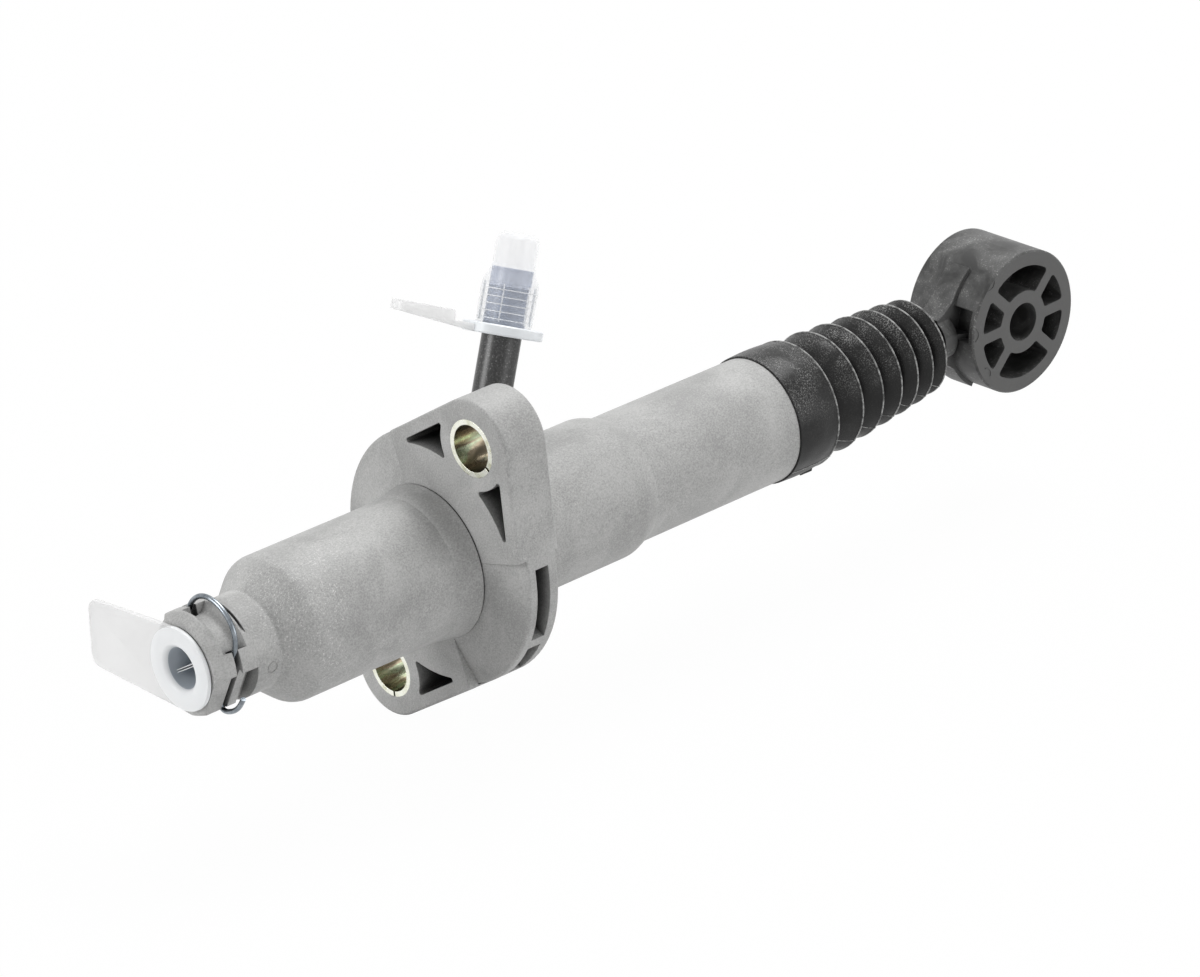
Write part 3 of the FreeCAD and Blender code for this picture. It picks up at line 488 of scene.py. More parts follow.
def turnAbout(shape, verts, degrees, axis):
    bmesh.ops.rotate(shape, verts=verts, cent=(0, 0, 0),
                     matrix=Matrix.Rotation(math.radians(degrees), 3, axis))


# Draws every face out by a run in millimetres
def drawOut(shape, run):
    grown = bmesh.ops.extrude_face_region(shape, geom=shape.faces[:])
    moved = [v for v in grown["geom"] if isinstance(v, bmesh.types.BMVert)]
    bmesh.ops.translate(shape, verts=moved, vec=[step * mm for step in run])
    bmesh.ops.recalc_face_normals(shape, faces=shape.faces)


def roundOff(shape, geom, offset, segments=2, affect="EDGES"):
    bmesh.ops.bevel(shape, geom=geom, affect=affect, offset=offset * mm, segments=segments,
                    profile=0.5, material=-1, offset_type="OFFSET", clamp_overlap=True)


# Moves a part into a larger shape
def addPart(whole, part):
    mesh = bpy.data.meshes.new("part")
    part.to_mesh(mesh)
    part.free()
    whole.from_mesh(mesh)
    bpy.data.meshes.remove(mesh)


# Points of a profile, given as steps from one place and radius
def stepsFrom(place, radius, steps):
    return [(place + run, radius + rise) for run, rise in steps]


def finishPiece(shape, name, materials, sharp=32.0):
    for face in shape.faces:
        face.smooth = True
    for edge in shape.edges:
        edge.smooth = edge.calc_face_angle(0.0) < math.radians(sharp)
    mesh = bpy.data.meshes.new(name)
    shape.to_mesh(mesh)
    shape.free()
    piece = bpy.data.objects.new(name, mesh)
    for material in materials:
        mesh.materials.append(material)
    bpy.context.scene.collection.objects.link(piece)
    return piece


# Boot: cuff on the tube, then folds with a long front side, a steep rear side and a fine ridge on
# each crown. Their centre line slants after the leaning rod. The lean values move the inside of the
# wall along the axis, as shares of the wall, and the inner ones shape the first fold from within.
bellows = {
    "cuffStart": 85.4, "cuffSeat": 11.8, "cuffLip": 13.15, "cuffEdge": 0.15, "cuffBulge": 0.22,
    "cuffSteps": 14, "seatEnd": 95.0,
    "crownPlaces": (96.0, 103.7, 110.0, 115.9, 121.0, 125.9, 130.4),
    "crownRadii": (13.0, 12.3, 11.8, 11.3, 10.9, 10.45, 9.9),
    "lastOnTube": 4, "valleyDrop": 3.6, "valleyLift": 0.35, "valleyRun": 0.5, "rearRun": 1.1,
    "flankBulge": 0.42, "outerSteps": 16, "innerSteps": 8, "wall": 0.8, "around": 144,
    "rearHalf": 0.7, "bulgeLean": 0.6, "leanFront": 0.4, "leanRear": 0.6, "leanValley": 0.9,
    "crestRise": 0.12, "crestHalf": 0.2, "crestDrop": 0.1, "crestTilt": 0.9,
    "stepRun": 0.1, "stepDrop": 0.3, "innerFront": 0.4, "innerRear": 0.6, "innerRise": 0.2,
    "end": 133.8, "endRadius": 5.6, "collarRadius": 6.3, "collarRun": 1.5, "bore": 4.6,
    "tailRun": 2.2, "tailRise": 1.4,
    "tuckRun": 0.5, "tuckRise": 0.1, "tuckSink": 0.4, "blendStart": 0.0935,
    "slantUp": 0.02505, "slantSide": 0.01138,
    "seamAngle": 218.0, "seamSweep": 0.9, "seamRise": 0.07, "seamThick": 0.2,
    "flash": ((91.0, 13.0), (91.2, 13.55), (93.4, 13.6), (94.0, 13.0)), "flashAngle": 235.0,
    "flashSweep": 5.0,
}


def crest(i):
    place, crown = bellows["crownPlaces"][i], bellows["crownRadii"][i]
    half, rise = bellows["crestHalf"], bellows["crestRise"]
    return [(place - half * 0.5, crown + rise),
            (place + half * 0.5, crown + rise * bellows["crestTilt"]),
            (place + half, crown - bellows["crestDrop"])]


def rearSide(i, inward=0.0):
    # Down to the next valley, or to the collar behind the last crown
    b = bellows
    if i + 1 == len(b["crownPlaces"]):
        return [(b["end"] - b["tailRun"], b["collarRadius"] + b["tailRise"] - inward),
                (b["end"] - b["collarRun"], b["collarRadius"] - inward)]
    place, crown = b["crownPlaces"][i], b["crownRadii"][i] - inward
    valley = b["crownRadii"][i + 1] - b["valleyDrop"] - inward
    middle = place + b["rearRun"] * b["rearHalf"] + inward * b["leanRear"]
    return [(middle, (crown + valley) / 2),
            (place + b["rearRun"] + inward * b["leanValley"], valley + b["valleyLift"])]


def foldProfile(first, last, inward=0.0):
    # From the valley before the first crown to the valley behind the last one. The inside of the
    # wall has no crests.
    b = bellows
    steps = b["innerSteps"] if inward else b["outerSteps"]
    points = []
    for i in range(first, last + 1):
        low = b["crownPlaces"][i - 1] + b["rearRun"] + b["valleyRun"] + inward * b["leanFront"]
        front = b["crownPlaces"][i] - b["crestHalf"]
        lowRadius = b["crownRadii"][i] - b["valleyDrop"] - inward
        crown = b["crownRadii"][i] - inward
        for k in range(steps + 1):
            share = k / steps
            bulge = b["flankBulge"] * math.sin(math.pi * share)
            points.append((low + (front - low) * share - bulge * b["bulgeLean"],
                           lowRadius + (crown - lowRadius) * share + bulge))
        points += ([] if inward else crest(i)) + rearSide(i, inward)
    return points


def cuffProfile():
    b = bellows
    start, lip, edge = b["cuffStart"], b["cuffLip"], b["cuffEdge"]
    crown = b["crownRadii"][0]
    front = b["crownPlaces"][0] - b["crestHalf"]
    points = [(start, b["cuffSeat"]), (start, lip - edge), (start + edge, lip)]
    for i in range(1, b["cuffSteps"]):
        share = i / b["cuffSteps"]
        points.append((start + edge + (front - start - edge) * share,
                       lip + (crown - lip) * share + b["cuffBulge"] * math.sin(math.pi * share)))
    return points + [(front, crown)] + crest(0) + rearSide(0)


def slant(shape):
    start = bellows["crownPlaces"][0] * mm
    for vert in shape.verts:
        run = max(0.0, vert.co.x - start)
        vert.co.z += run * bellows["slantUp"]
        vert.co.y += run * bellows["slantSide"]


def paintCrests(shape):
    # The fine ridge on each crown takes the pale crest rubber: partly wear, partly painted
    # highlight
    start = bellows["crownPlaces"][0] * mm
    for face in shape.faces:
        centre = face.calc_center_median()
        run = max(0.0, centre.x - start)
        radius = math.hypot(centre.y - run * bellows["slantSide"],
                            centre.z - run * bellows["slantUp"]) / mm
        for place, crown in zip(bellows["crownPlaces"], bellows["crownRadii"]):
            if abs(centre.x / mm - place) < bellows["crestHalf"] and radius > crown:
                face.material_index = 1


def foldPiece(name, outer, inner):
    shape = turnedShape(outer + inner[::-1], bellows["around"])
    slant(shape)
    paintCrests(shape)
    return finishPiece(shape, name, [finishes["bellows_rubber"], bellowsCrest])


def seamPiece(name, profile):
    b = bellows
    seam = [(x, r + b["seamRise"]) for x, r in profile]
    under = [(x, r - b["seamThick"]) for x, r in seam[::-1]]
    shape = turnedShape(seam + under, 2, sweep=b["seamSweep"], startAngle=b["seamAngle"])
    slant(shape)
    # Pale like the crests: partly wear, partly a painted highlight along the seam
    return finishPiece(shape, name, [bellowsCrest])


def makeBoot():
    b = bellows
    split, lastFold = b["lastOnTube"], len(b["crownPlaces"]) - 1
    crownX, crownR = b["crownPlaces"][0], b["crownRadii"][0]
    valley = b["crownRadii"][1] - b["valleyDrop"]
    tuck = b["crownPlaces"][split] + b["rearRun"] + b["valleyRun"] + b["tuckRun"]
    tuckRadius = b["crownRadii"][split + 1] - b["valleyDrop"]
    outer = cuffProfile() + foldProfile(1, split) + [(tuck, tuckRadius + b["tuckRise"])]
    inner = [(b["seatEnd"], b["cuffSeat"]),
             (b["seatEnd"] + b["stepRun"], crownR - b["wall"] - b["stepDrop"]),
             (crownX - b["innerFront"], crownR - b["wall"]),
             (crownX + b["rearRun"] - b["innerRear"], valley + b["innerRise"])]
    inner += foldProfile(1, split, b["wall"]) + [(tuck, tuckRadius - b["tuckSink"])]
    boot = foldPiece("bellowsMain", outer, inner)
    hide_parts("boot")
    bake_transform(boot)

    # The last two folds ride on the rod, so the rod has room to swing in the others
    outer = foldProfile(split + 1, lastFold)
    collar = b["end"] - b["collarRun"]
    outer += [(b["end"], b["endRadius"]), (b["end"], b["bore"]), (collar, b["bore"]),
              (collar, b["collarRadius"] - b["wall"])]
    inner = foldProfile(split + 1, lastFold, b["wall"])[:-1]
    tail = foldPiece("bellowsEnd", outer, inner)
    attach(tail, "rod")
    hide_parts("boot")

    # Parting line from the cuff's lip along the folds, and a small flash on the cuff
    seam = seamPiece("bellowsSeam", cuffProfile()[2:] + foldProfile(1, split))
    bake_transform(seam)
    endSeam = seamPiece("endSeam", foldProfile(split + 1, lastFold)[:-2])
    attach(endSeam, "rod")
    shape = turnedShape(b["flash"], 4, sweep=b["flashSweep"], startAngle=b["flashAngle"])
    nub = finishPiece(shape, "cuffFlash", [finishes["bellows_rubber"]])
    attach(nub, "cylinder")


makeBoot()
print("boot made")


# Return spring: one wound wire at one length, though the real one shortens with the plunger
spring = {
    "start": -33.55, "end": 59.25, "radius": 4.9, "wire": 0.7, "turns": 12, "sides": 10,
    "stepsPerTurn": 24, "sharp": 50.0,
}


def makeSpring():
    shape = bmesh.new()
    ring = bmesh.ops.create_circle(shape, cap_ends=False, segments=spring["sides"],
                                   radius=spring["wire"] * mm)["verts"]
    turnAbout(shape, ring, 90, "Y")
    turnAbout(shape, ring, 90, "Z")
    bmesh.ops.translate(shape, verts=ring, vec=(spring["start"] * mm, 0, spring["radius"] * mm))
    count = spring["turns"] * spring["stepsPerTurn"]
    run = (spring["end"] - spring["start"]) * mm / count
    bmesh.ops.spin(shape, geom=shape.verts[:] + shape.edges[:], cent=(0, 0, 0), axis=(1, 0, 0),
                   dvec=(run, 0, 0), angle=2 * math.pi * spring["turns"], steps=count,
                   use_merge=False, use_duplicate=False)
    bmesh.ops.holes_fill(shape, edges=shape.edges, sides=0)
    bmesh.ops.recalc_face_normals(shape, faces=shape.faces)
    coil = finishPiece(shape, "returnCoil", [finishes["zinc_spring_wire"]], spring["sharp"])
    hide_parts("return_spring")
    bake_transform(coil)


makeSpring()
print("spring made")


# Shipping plug: white ring with a chamfered mouth, a hollow nose with a thin cross wall, and a
# pull tab. Steps are points given from the front and one radius, each milk is (alpha, low, high).
plug = {
    "front": -60.7, "face": -59.6, "flange": 8.1, "edge": 0.3, "mouth": 4.7, "bore": 4.0,
    "boreFoot": 3.7, "collar": 6.3, "collarEnd": -57.0, "nose": 4.7, "noseEnd": -49.4, "floor": 1.2,
    "mouthSteps": ((0.5, -0.45), (0.12, -0.05), (0.0, 0.3)),
    "boreSteps": ((2.2, -0.1), (1.4, 0.0), (0.9, 0.05)),
    "edgeShare": 0.3, "noseChamfer": 0.5, "footChamfer": 0.6,
    "around": 96, "boreFace": 4.12, "boreStart": -60.0,
    "wall": 0.14, "wallAngle": 149.0, "wallFront": -58.6, "wallSpan": 1.94, "wallGap": 0.45,
    "wallEdge": 0.03, "tabRoot": 0.3, "tabLength": 25.5, "tabTop": (8.0, 5.8),
    "tabBottom": (-8.0, -7.5), "tabThick": 1.0, "tabOverlap": 0.1, "tabSink": 0.1,
    "tabCorner": 2.2, "cornerSteps": 6, "hollowSteps": 20, "tabEdge": 0.18, "edgeAngle": 1.0,
    "ringMilk": (0.85, (0.9, 0.92, 0.94), (0.95, 0.97, 0.98)),
    "boreMilkWithPaintedShade": (0.9, (0.4, 0.44, 0.48), (0.54, 0.58, 0.63)),
    "tabMilk": (0.6, (0.8, 0.8, 0.8), (0.84, 0.84, 0.84)),
}


def makePlug():
    p = plug
    ringWhite = makeMilkyPlastic("plugRing", *p["ringMilk"])
    # Greyer milk for the bore: painted shade inside the hole
    boreWhiteWithPaintedShade = makeMilkyPlastic("plugBorePaintedShade", *p["boreMilkWithPaintedShade"])
    front, face, flange, edge = p["front"], p["face"], p["flange"], p["edge"]
    noseEnd, floor = p["noseEnd"], p["noseEnd"] - p["floor"]
    share, tip, foot = p["edgeShare"], p["noseChamfer"], p["footChamfer"]
    profile = stepsFrom(front, p["mouth"], p["mouthSteps"])
    profile += [
        (front, flange - edge), (front + edge * share, flange - edge * share),
        (front + edge, flange), (face - edge, flange), (face, flange - edge), (face, p["collar"]),
        (p["collarEnd"], p["collar"]), (p["collarEnd"], p["nose"]), (noseEnd - tip, p["nose"]),
        (noseEnd, p["nose"] - tip), (noseEnd, 0.0), (floor, 0.0), (floor, p["boreFoot"] - foot),
        (floor - foot, p["boreFoot"])]
    profile += stepsFrom(front, p["bore"], p["boreSteps"])
    shape = turnedShape(profile, p["around"])
    # The faces inside the bore take the greyer milk, which is painted shade
    for side in shape.faces:
        centre = side.calc_center_median()
        if math.hypot(centre.y, centre.z) < p["boreFace"] * mm and centre.x > p["boreStart"] * mm:
            side.material_index = 1
    ring = finishPiece(shape, "plugRing", [ringWhite, boreWhiteWithPaintedShade])
    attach(ring, "plug")
    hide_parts("outlet_plug")

    # Thin double wall across the hollow nose
    shape = bmesh.new()
    bmesh.ops.create_cube(shape, size=1.0)
    depth = floor - p["wallFront"]
    bmesh.ops.scale(shape, verts=shape.verts,
                    vec=(depth * mm, p["bore"] * p["wallSpan"] * mm, p["wall"] * mm))
    bmesh.ops.translate(shape, verts=shape.verts, vec=((p["wallFront"] + depth / 2) * mm, 0, 0))
    twin = bmesh.ops.duplicate(shape, geom=shape.verts[:] + shape.edges[:] + shape.faces[:])["geom"]
    bmesh.ops.translate(shape, verts=[v for v in twin if isinstance(v, bmesh.types.BMVert)],
                        vec=(0, 0, p["wallGap"] * mm))
    turnAbout(shape, shape.verts, p["wallAngle"], "X")
    roundOff(shape, shape.edges[:], p["wallEdge"])
    wall = finishPiece(shape, "plugWall", [ringWhite])
    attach(wall, "plug")

    # Pull tab: a thin plate that tapers a little, hollowed round the ring, with rounded far corners
    shape = bmesh.new()
    corners = [(p["tabRoot"], p["tabBottom"][0]), (p["tabLength"], p["tabBottom"][1]),
               (p["tabLength"], p["tabTop"][1]), (p["tabRoot"], p["tabTop"][0])]
    ringEdge = flange - p["tabOverlap"]
    for i in range(1, p["hollowSteps"]):
        turnAngle = math.pi / 2 - math.pi * i / p["hollowSteps"]
        corners.append((ringEdge * math.cos(turnAngle), ringEdge * math.sin(turnAngle)))
    place = front + p["tabSink"]
    verts = [shape.verts.new((place * mm, y * mm, z * mm)) for y, z in corners]
    shape.faces.new(verts)
    farCorners = [v for v in verts if v.co.y > p["tabLength"] / 2 * mm]
    roundOff(shape, farCorners, p["tabCorner"], p["cornerSteps"], "VERTICES")
    drawOut(shape, (p["tabThick"], 0, 0))
    edges = [e for e in shape.edges if e.calc_face_angle(0.0) > p["edgeAngle"]]
    roundOff(shape, edges, p["tabEdge"])
    tab = finishPiece(shape, "plugTab", [makeMilkyPlastic("plugTab", *p["tabMilk"])])
    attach(tab, "plug")


makePlug()
print("plug made")


# Shipping cap on the inlet pipe: thin bell that runs up into a nipple, fine inner ribs, a rim and
# a side tab. Built with its axis on X, then turned onto the pipe's axis. Shoulder, throat and domes
# are steps from their own place and radius, and each milk is (alpha, low, high).
cap = {
    "foot": (9.1, 0.0, 0.0), "sideAngle": 8.1, "leanAngle": 24.5, "around": 80,
    "rim": 39.8, "rimTop": 41.8, "rimRadius": 7.65, "rimEdge": 0.25,
    "skirt": 5.3, "skirtEnd": 45.0, "skirtFlare": 0.1,
    "bell": 5.45, "bellEnd": 49.6, "shoulder": ((-1.0, 0.0), (0.0, -0.05), (0.8, -0.35)),
    "nipple": 52.9, "nippleRadius": 4.1, "throat": ((-1.6, 0.45), (-0.4, 0.08), (0.4, 0.0)),
    "top": 59.3, "dome": ((-1.5, 0.0), (-0.9, -0.2), (-0.3, -0.8), (0.0, -1.4)),
    "coreRadius": 3.5, "coreGap": 0.4, "coreDome": ((-1.2, 0.0), (-0.5, -0.8)),
    "pipe": 3.85, "pipeTop": 52.4, "hazeStart": 49.0, "hazeAround": 64,
    "hazeTop": (0.04, 0.12), "hazeInside": (0.06, 0.04), "hazeOutside": (0.14, 0.08),
    "pipeHazeSink": 0.5, "pipeHazeGap": 0.12,
    "ribs": (42.7, 44.1, 45.5, 46.9, 48.3), "ribWidth": 0.16, "ribDepth": 0.3, "ribGap": 0.04,
    "ribAround": 72,
    "staves": 6, "staveSize": (7.2, 0.14, 0.4), "stavePlace": 45.9, "staveSink": 0.28,
    "staveTurn": 32,
    "tabTurn": 142.0, "tabLength": 21.2, "tabHalf": 5.0, "tabRoot": 1.6, "bridge": 1.4,
    "bridgeEnd": 10.0, "bridgeStep": (0.1, 0.3), "rise": 1.6, "root": 3.4, "tip": 2.0,
    "tabCorner": 1.8, "cornerSteps": 6, "slack": 0.1, "tabEdge": 0.15, "edgeAngle": 0.9,
    "milk": {
        "capRim": (0.85, (0.88, 0.92, 0.96), (0.93, 0.96, 0.99)),
        "capBell": (0.2, (0.93, 0.94, 0.95), (0.97, 0.98, 0.99)),
        "capNipple": (0.16, (0.92, 0.92, 0.92), (0.96, 0.96, 0.96)),
        "capHaze": (0.85, (0.5, 0.56, 0.72), (0.6, 0.66, 0.8)),
        "capPipeHaze": (0.72, (0.24, 0.3, 0.42), (0.42, 0.48, 0.62)),
        "capRibs": (0.9, (0.92, 0.94, 0.96), (0.97, 0.98, 0.99)),
        "capTab": (0.6, (0.93, 0.93, 0.93), (0.96, 0.96, 0.96)),
    },
}


def ontoPipe(shape):
    side = Matrix.Rotation(math.radians(-cap["sideAngle"]), 4, "X")
    lean = Matrix.Rotation(math.radians(cap["leanAngle"]), 4, "Y")
    upright = Matrix.Rotation(math.radians(-90), 4, "Y")
    place = Matrix.Translation(Vector(cap["foot"]) * mm)
    bmesh.ops.transform(shape, matrix=place @ lean @ side @ upright, verts=shape.verts)
    return shape


def capRimShape():
    c = cap
    low, high, radius, edge = c["rim"], c["rimTop"], c["rimRadius"], c["rimEdge"]
    return turnedShape([
        (low, c["pipe"]), (low, radius - edge), (low + edge, radius), (high - edge, radius),
        (high, radius - edge), (high, c["pipe"])], c["around"])


def capBellShape():
    c = cap
    profile = [(c["rimTop"], c["skirt"]), (c["skirtEnd"], c["skirt"] + c["skirtFlare"])]
    profile += stepsFrom(c["bellEnd"], c["bell"], c["shoulder"])
    profile += stepsFrom(c["nipple"], c["nippleRadius"], c["throat"])
    profile += stepsFrom(c["top"], c["nippleRadius"], c["dome"])
    return turnedShape(profile + [(c["top"], 0.0)], c["around"], closed=False)


def capNippleShape():
    foot, radius = cap["pipeTop"] + cap["coreGap"], cap["coreRadius"]
    dome = stepsFrom(cap["top"], radius, cap["coreDome"])
    return turnedShape([(foot, 0.0), (foot, radius)] + dome + [(dome[-1][0], 0.0)], cap["around"])


# Bluish haze where the wall is seen above the end of the pipe
def capHazeShape():
    start, end, pipe = cap["hazeStart"], cap["pipeTop"], cap["pipe"]
    under, over = [end + gap for gap in cap["hazeTop"]]
    insideLow, insideHigh = [pipe + gap for gap in cap["hazeInside"]]
    outsideLow, outsideHigh = [pipe + gap for gap in cap["hazeOutside"]]
    return turnedShape([
        (start, outsideLow), (over, outsideHigh), (over, 0.0), (under, 0.0),
        (under, insideHigh), (start, insideLow)], cap["hazeAround"])


def capPipeHazeShape():
    foot, radius = cap["rimTop"] - cap["pipeHazeSink"], cap["pipe"] + cap["pipeHazeGap"]
    return turnedShape([(foot, radius), (cap["hazeStart"], radius)], cap["hazeAround"],
                       closed=False)


def capRibsShape():
    c = cap
    shape = bmesh.new()
    outer = c["skirt"] - c["ribGap"]
    inner = outer - c["ribDepth"]
    for low in c["ribs"]:
        high = low + c["ribWidth"]
        addPart(shape, turnedShape([(low, outer), (low, inner), (high, inner), (high, outer)],
                                   c["ribAround"]))
    for i in range(c["staves"]):
        added = bmesh.ops.create_cube(shape, size=1.0)["verts"]
        bmesh.ops.scale(shape, verts=added, vec=[size * mm for size in c["staveSize"]])
        bmesh.ops.translate(shape, verts=added,
                            vec=(c["stavePlace"] * mm, 0, (c["skirt"] - c["staveSink"]) * mm))
        turnAbout(shape, added, 360 / c["staves"] * i + c["staveTurn"], "X")
    return shape


# Drawn from its side view, then rounded in plan and turned about the cap's axis
def capTabShape():
    c = cap
    low, start = c["rim"], c["rimRadius"] - c["tabRoot"]
    lift, drop = c["bridgeStep"]
    side = [(low, start), (low + c["rise"], c["tabLength"]),
            (low + c["rise"] + c["tip"], c["tabLength"]), (low + c["root"], c["bridgeEnd"]),
            (low + c["bridge"] + lift, c["bridgeEnd"] - drop), (low + c["bridge"], start)]
    shape = bmesh.new()
    verts = [shape.verts.new((x * mm, -c["tabHalf"] * mm, z * mm)) for x, z in side]
    shape.faces.new(verts)
    drawOut(shape, (0, 2 * c["tabHalf"], 0))
    farCorners = [e for e in shape.edges
                  if all(v.co.z > (c["tabLength"] - c["slack"]) * mm for v in e.verts)
                  and abs(e.verts[0].co.y - e.verts[1].co.y) < c["slack"] * mm]
    roundOff(shape, farCorners, c["tabCorner"], c["cornerSteps"])
    edges = [e for e in shape.edges if e.calc_face_angle(0.0) > c["edgeAngle"]]
    roundOff(shape, edges, c["tabEdge"])
    turnAbout(shape, shape.verts, 180 + c["tabTurn"], "X")
    return shape


def makeCap():
    shapes = {
        "capRim": capRimShape(), "capBell": capBellShape(), "capNipple": capNippleShape(),
        "capHaze": capHazeShape(), "capPipeHaze": capPipeHazeShape(), "capRibs": capRibsShape(),
        "capTab": capTabShape(),
    }
    for name, shape in shapes.items():
        piece = finishPiece(ontoPipe(shape), name, [makeMilkyPlastic(name, *cap["milk"][name])])
        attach(piece, "cap")
        if name == "capBell":
            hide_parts("inlet_cap")


makeCap()
print("cap made")


# Small forms on the body and the eye: soft foot of the front cylinder, a round ejector mark on the
# neck, and part circles on the rim of the eye
marks = {
    "foot": ((-5.6, 14.1), (-5.1, 14.36), (-4.7, 14.5), (-3.0, 14.68), (-1.2, 15.0), (-0.6, 15.14),
             (-0.4, 15.22), (-0.25, 15.2), (-0.2, 15.05), (-0.2, 13.3), (-5.6, 13.3)),
    "footAround": 144, "rise": 0.12, "sink": 0.1,
    "neckPlace": -46.6, "neckAngle": -170.5, "neckRadius": 9.5, "neckRing": (0.95, 1.2),
    "neckSteps": 40, "neckNarrowing": 0.05, "eyeNarrowing": 0.04,
    "eyeCentre": (154.18439, 0.61249, 1.34766),
    "eyeAxis": (0.00872654, -0.99996192, 0.0), "eyeHalf": 8.95, "eyeRing": (1.35, 1.6),
    "eyePlaces": ((-8.94, 10.28), (-13.17, 1.39), (-9.94, -7.14)), "eyeSweep": 124.0,
    "eyeSteps": 24,
}


# A low ring whose profile narrows by a little towards its top
def markProfile(inner, outer, narrowing):
    rise, sink = marks["rise"], marks["sink"]
    return [(-sink, inner), (rise, inner + narrowing), (rise, outer - narrowing), (-sink, outer)]


def makeFoot():
    shape = turnedShape(marks["foot"], marks["footAround"])
    foot = finishPiece(shape, "frontFoot", [finishes["grey_nylon"]])
    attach(foot, "cylinder")


def makeNeckMark():
    # The flat ring is wrapped round the neck
    profile = markProfile(*marks["neckRing"], marks["neckNarrowing"])
    shape = turnedShape(profile, marks["neckSteps"])
    centre = math.radians(marks["neckAngle"])
    for vert in shape.verts:
        height, across, along = vert.co.x / mm, vert.co.y / mm, vert.co.z / mm
        turnAngle = centre + across / marks["neckRadius"]
        reach = (marks["neckRadius"] + height) * mm
        vert.co = ((marks["neckPlace"] + along) * mm, reach * math.cos(turnAngle),
                   reach * math.sin(turnAngle))
    bmesh.ops.recalc_face_normals(shape, faces=shape.faces)
    ring = finishPiece(shape, "neckMark", [finishes["grey_nylon"]])
    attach(ring, "cylinder")


def makeEyeMarks():
    # Each part circle is centred a little further out than its place
    outer = marks["eyeRing"][1]
    profile = markProfile(*marks["eyeRing"], marks["eyeNarrowing"])
    axis = Vector(marks["eyeAxis"]).normalized()
    side = Vector((-axis.y, axis.x, 0.0))
    shape = bmesh.new()
    for across, up in marks["eyePlaces"]:
        outward = Vector((across, up)).normalized()
        centreAcross, centreUp = across + outward.x * outer, up + outward.y * outer
        inwardAngle = math.degrees(math.atan2(-outward.y, -outward.x))
        arc = turnedShape(profile, marks["eyeSteps"], sweep=marks["eyeSweep"],
                          startAngle=inwardAngle - marks["eyeSweep"] / 2)
        for vert in arc.verts:
            height = (marks["eyeHalf"] + vert.co.x / mm) * mm
            place = Vector(marks["eyeCentre"]) * mm + axis * height
            place += side * ((centreAcross + vert.co.y / mm) * mm)
            place += Vector((0, 0, 1)) * ((centreUp + vert.co.z / mm) * mm)
            vert.co = place
        bmesh.ops.recalc_face_normals(arc, faces=arc.faces)
        addPart(shape, arc)
    arcs = finishPiece(shape, "eyeMarks", [finishes["black_nylon"]])
    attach(arcs, "rod")


makeFoot()
makeNeckMark()
makeEyeMarks()
print("marks made")


# Wire clip: the far hook is a little shorter than the near one
clip = {"cut": (0.0, 9.896, 4.805), "away": (0.0, 0.8996, 0.4368), "weld": 0.001, "sharp": 40.0}


def makeClip():
    shape = bmesh.new()
    shape.from_mesh(nodes["wire_clip"].data)
    weld = clip["weld"] * mm
    bmesh.ops.remove_doubles(shape, verts=shape.verts, dist=weld)
    bmesh.ops.bisect_plane(shape, geom=shape.verts[:] + shape.edges[:] + shape.faces[:], dist=weld,
                           plane_co=Vector(clip["cut"]) * mm, plane_no=clip["away"],
                           clear_outer=True)
    bmesh.ops.holes_fill(shape, edges=shape.edges, sides=0)
    wire = finishPiece(shape, "wireClip", [finishes["zinc_spring_wire"]], clip["sharp"])
    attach(wire, "clip")
    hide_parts("wire_clip")


makeClip()
print("clip made")


# Camera at the photograph's place, which is in millimetres
view = {
    "place": (-603.2, -699.87, 443.11), "right": (0.7231, -0.6899, -0.0338),
    "up": (0.3135, 0.2842, 0.9061), "lens": 165.03, "sensor": 36, "nearest": 0.05, "farthest": 20,
}


def makeCamera():
    camera = bpy.data.objects.new("camera", bpy.data.cameras.new("camera"))
    bpy.context.scene.collection.objects.link(camera)
    camera.data.sensor_width = view["sensor"]
    camera.data.lens = view["lens"]
    camera.data.clip_start = view["nearest"]
    camera.data.clip_end = view["farthest"]
    right = Vector(view["right"]).normalized()
    back = right.cross(Vector(view["up"])).normalized()
    up = back.cross(right)
    turn = Matrix((right, up, back)).transposed()
    place = [distance * mm for distance in view["place"]]
    camera.matrix_world = Matrix.Translation(place) @ turn.to_4x4()
    bpy.context.scene.camera = camera


# Studio: a pale floor that shows white to the camera and keeps a faint shadow, an even white
# world, and three soft lamps. Places and sizes here are in metres.
studio = {
    "floorTone": 0.72, "floorRoughness": 0.9, "floorWhite": 0.98, "floorHalf": 3.0,
    "floorCentre": (0.05, 0), "floorGap": 0.001, "worldLight": 0.38,
}
lamps = {
    "topSoftbox": {
        "place": (0.55, 0.15, 1.1), "target": (0.08, 0, 0), "size": (0.7, 0.6), "power": 12.5},
    "leftSoftbox": {
        "place": (-1.1, 0.45, 0.45), "target": (0, 0, 0), "size": (0.6, 0.6), "power": 7.5},
    "frontFill": {
        "place": (0.6, -1.3, 0.35), "target": (0.05, 0, 0), "size": (1.1, 0.8), "power": 5.5},
}


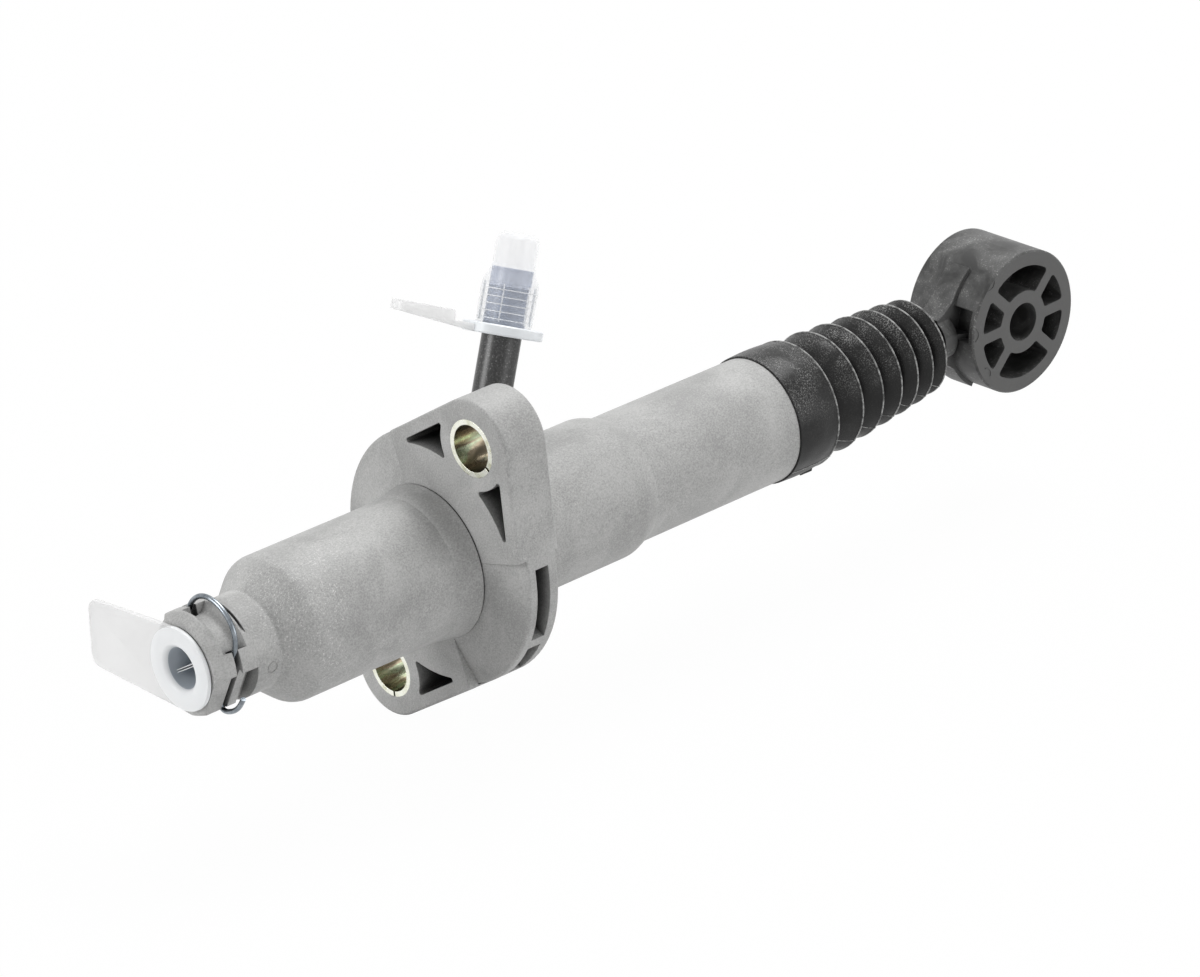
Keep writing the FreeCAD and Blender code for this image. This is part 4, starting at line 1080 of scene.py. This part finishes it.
# One for what the camera sees, directly or in metal or glass, and zero for light on the object
def seenRays(tree):
    path = addNode(tree, "ShaderNodeLightPath")
    seen = combine(tree, "MAXIMUM", path.outputs["Is Camera Ray"], path.outputs["Is Glossy Ray"])
    return combine(tree, "MAXIMUM", seen, path.outputs["Is Transmission Ray"])


def makeFloor():
    material, tree, shader = newMaterial("paleFloor")
    tone = studio["floorTone"]
    setSockets(shader, {
        "Base Color": (tone, tone, tone, 1.0), "Roughness": studio["floorRoughness"]})
    white = addNode(tree, "ShaderNodeEmission", {"Strength": 1.0})
    mix = addNode(tree, "ShaderNodeMixShader")
    tree.links.new(times(tree, seenRays(tree), studio["floorWhite"]), mix.inputs["Fac"])
    tree.links.new(shader.outputs["BSDF"], mix.inputs[1])
    tree.links.new(white.outputs["Emission"], mix.inputs[2])
    output = next(n for n in tree.nodes if n.type == "OUTPUT_MATERIAL")
    tree.links.new(mix.outputs["Shader"], output.inputs["Surface"])
    shape = bmesh.new()
    bmesh.ops.create_grid(shape, x_segments=1, y_segments=1, size=studio["floorHalf"])
    height = cadBox[0].z - studio["floorGap"]
    bmesh.ops.translate(shape, verts=shape.verts, vec=(*studio["floorCentre"], height))
    finishPiece(shape, "floor", [material])


def makeWorld():
    world = bpy.data.worlds.new("studio")
    bpy.context.scene.world = world
    world.use_nodes = True
    tree = world.node_tree
    background = next(n for n in tree.nodes if n.type == "BACKGROUND")
    background.inputs["Color"].default_value = (1.0, 1.0, 1.0, 1.0)
    strength = remap(tree, seenRays(tree), 0.0, 1.0, studio["worldLight"], 1.0)
    tree.links.new(strength, background.inputs["Strength"])


def makeLamp(name, place, target, size, power):
    data = bpy.data.lights.new(name, "AREA")
    data.shape = "RECTANGLE"
    data.size, data.size_y = size
    data.energy = power
    lamp = bpy.data.objects.new(name, data)
    bpy.context.scene.collection.objects.link(lamp)
    away = Vector(place) - Vector(target)
    turn = away.to_track_quat("Z", "Y").to_matrix().to_4x4()
    lamp.matrix_world = Matrix.Translation(place) @ turn


makeCamera()
makeFloor()
makeWorld()
for name, settings in lamps.items():
    makeLamp(name, **settings)
bpy.context.scene.view_settings.view_transform = "Standard"
print("camera, floor and lamps set")
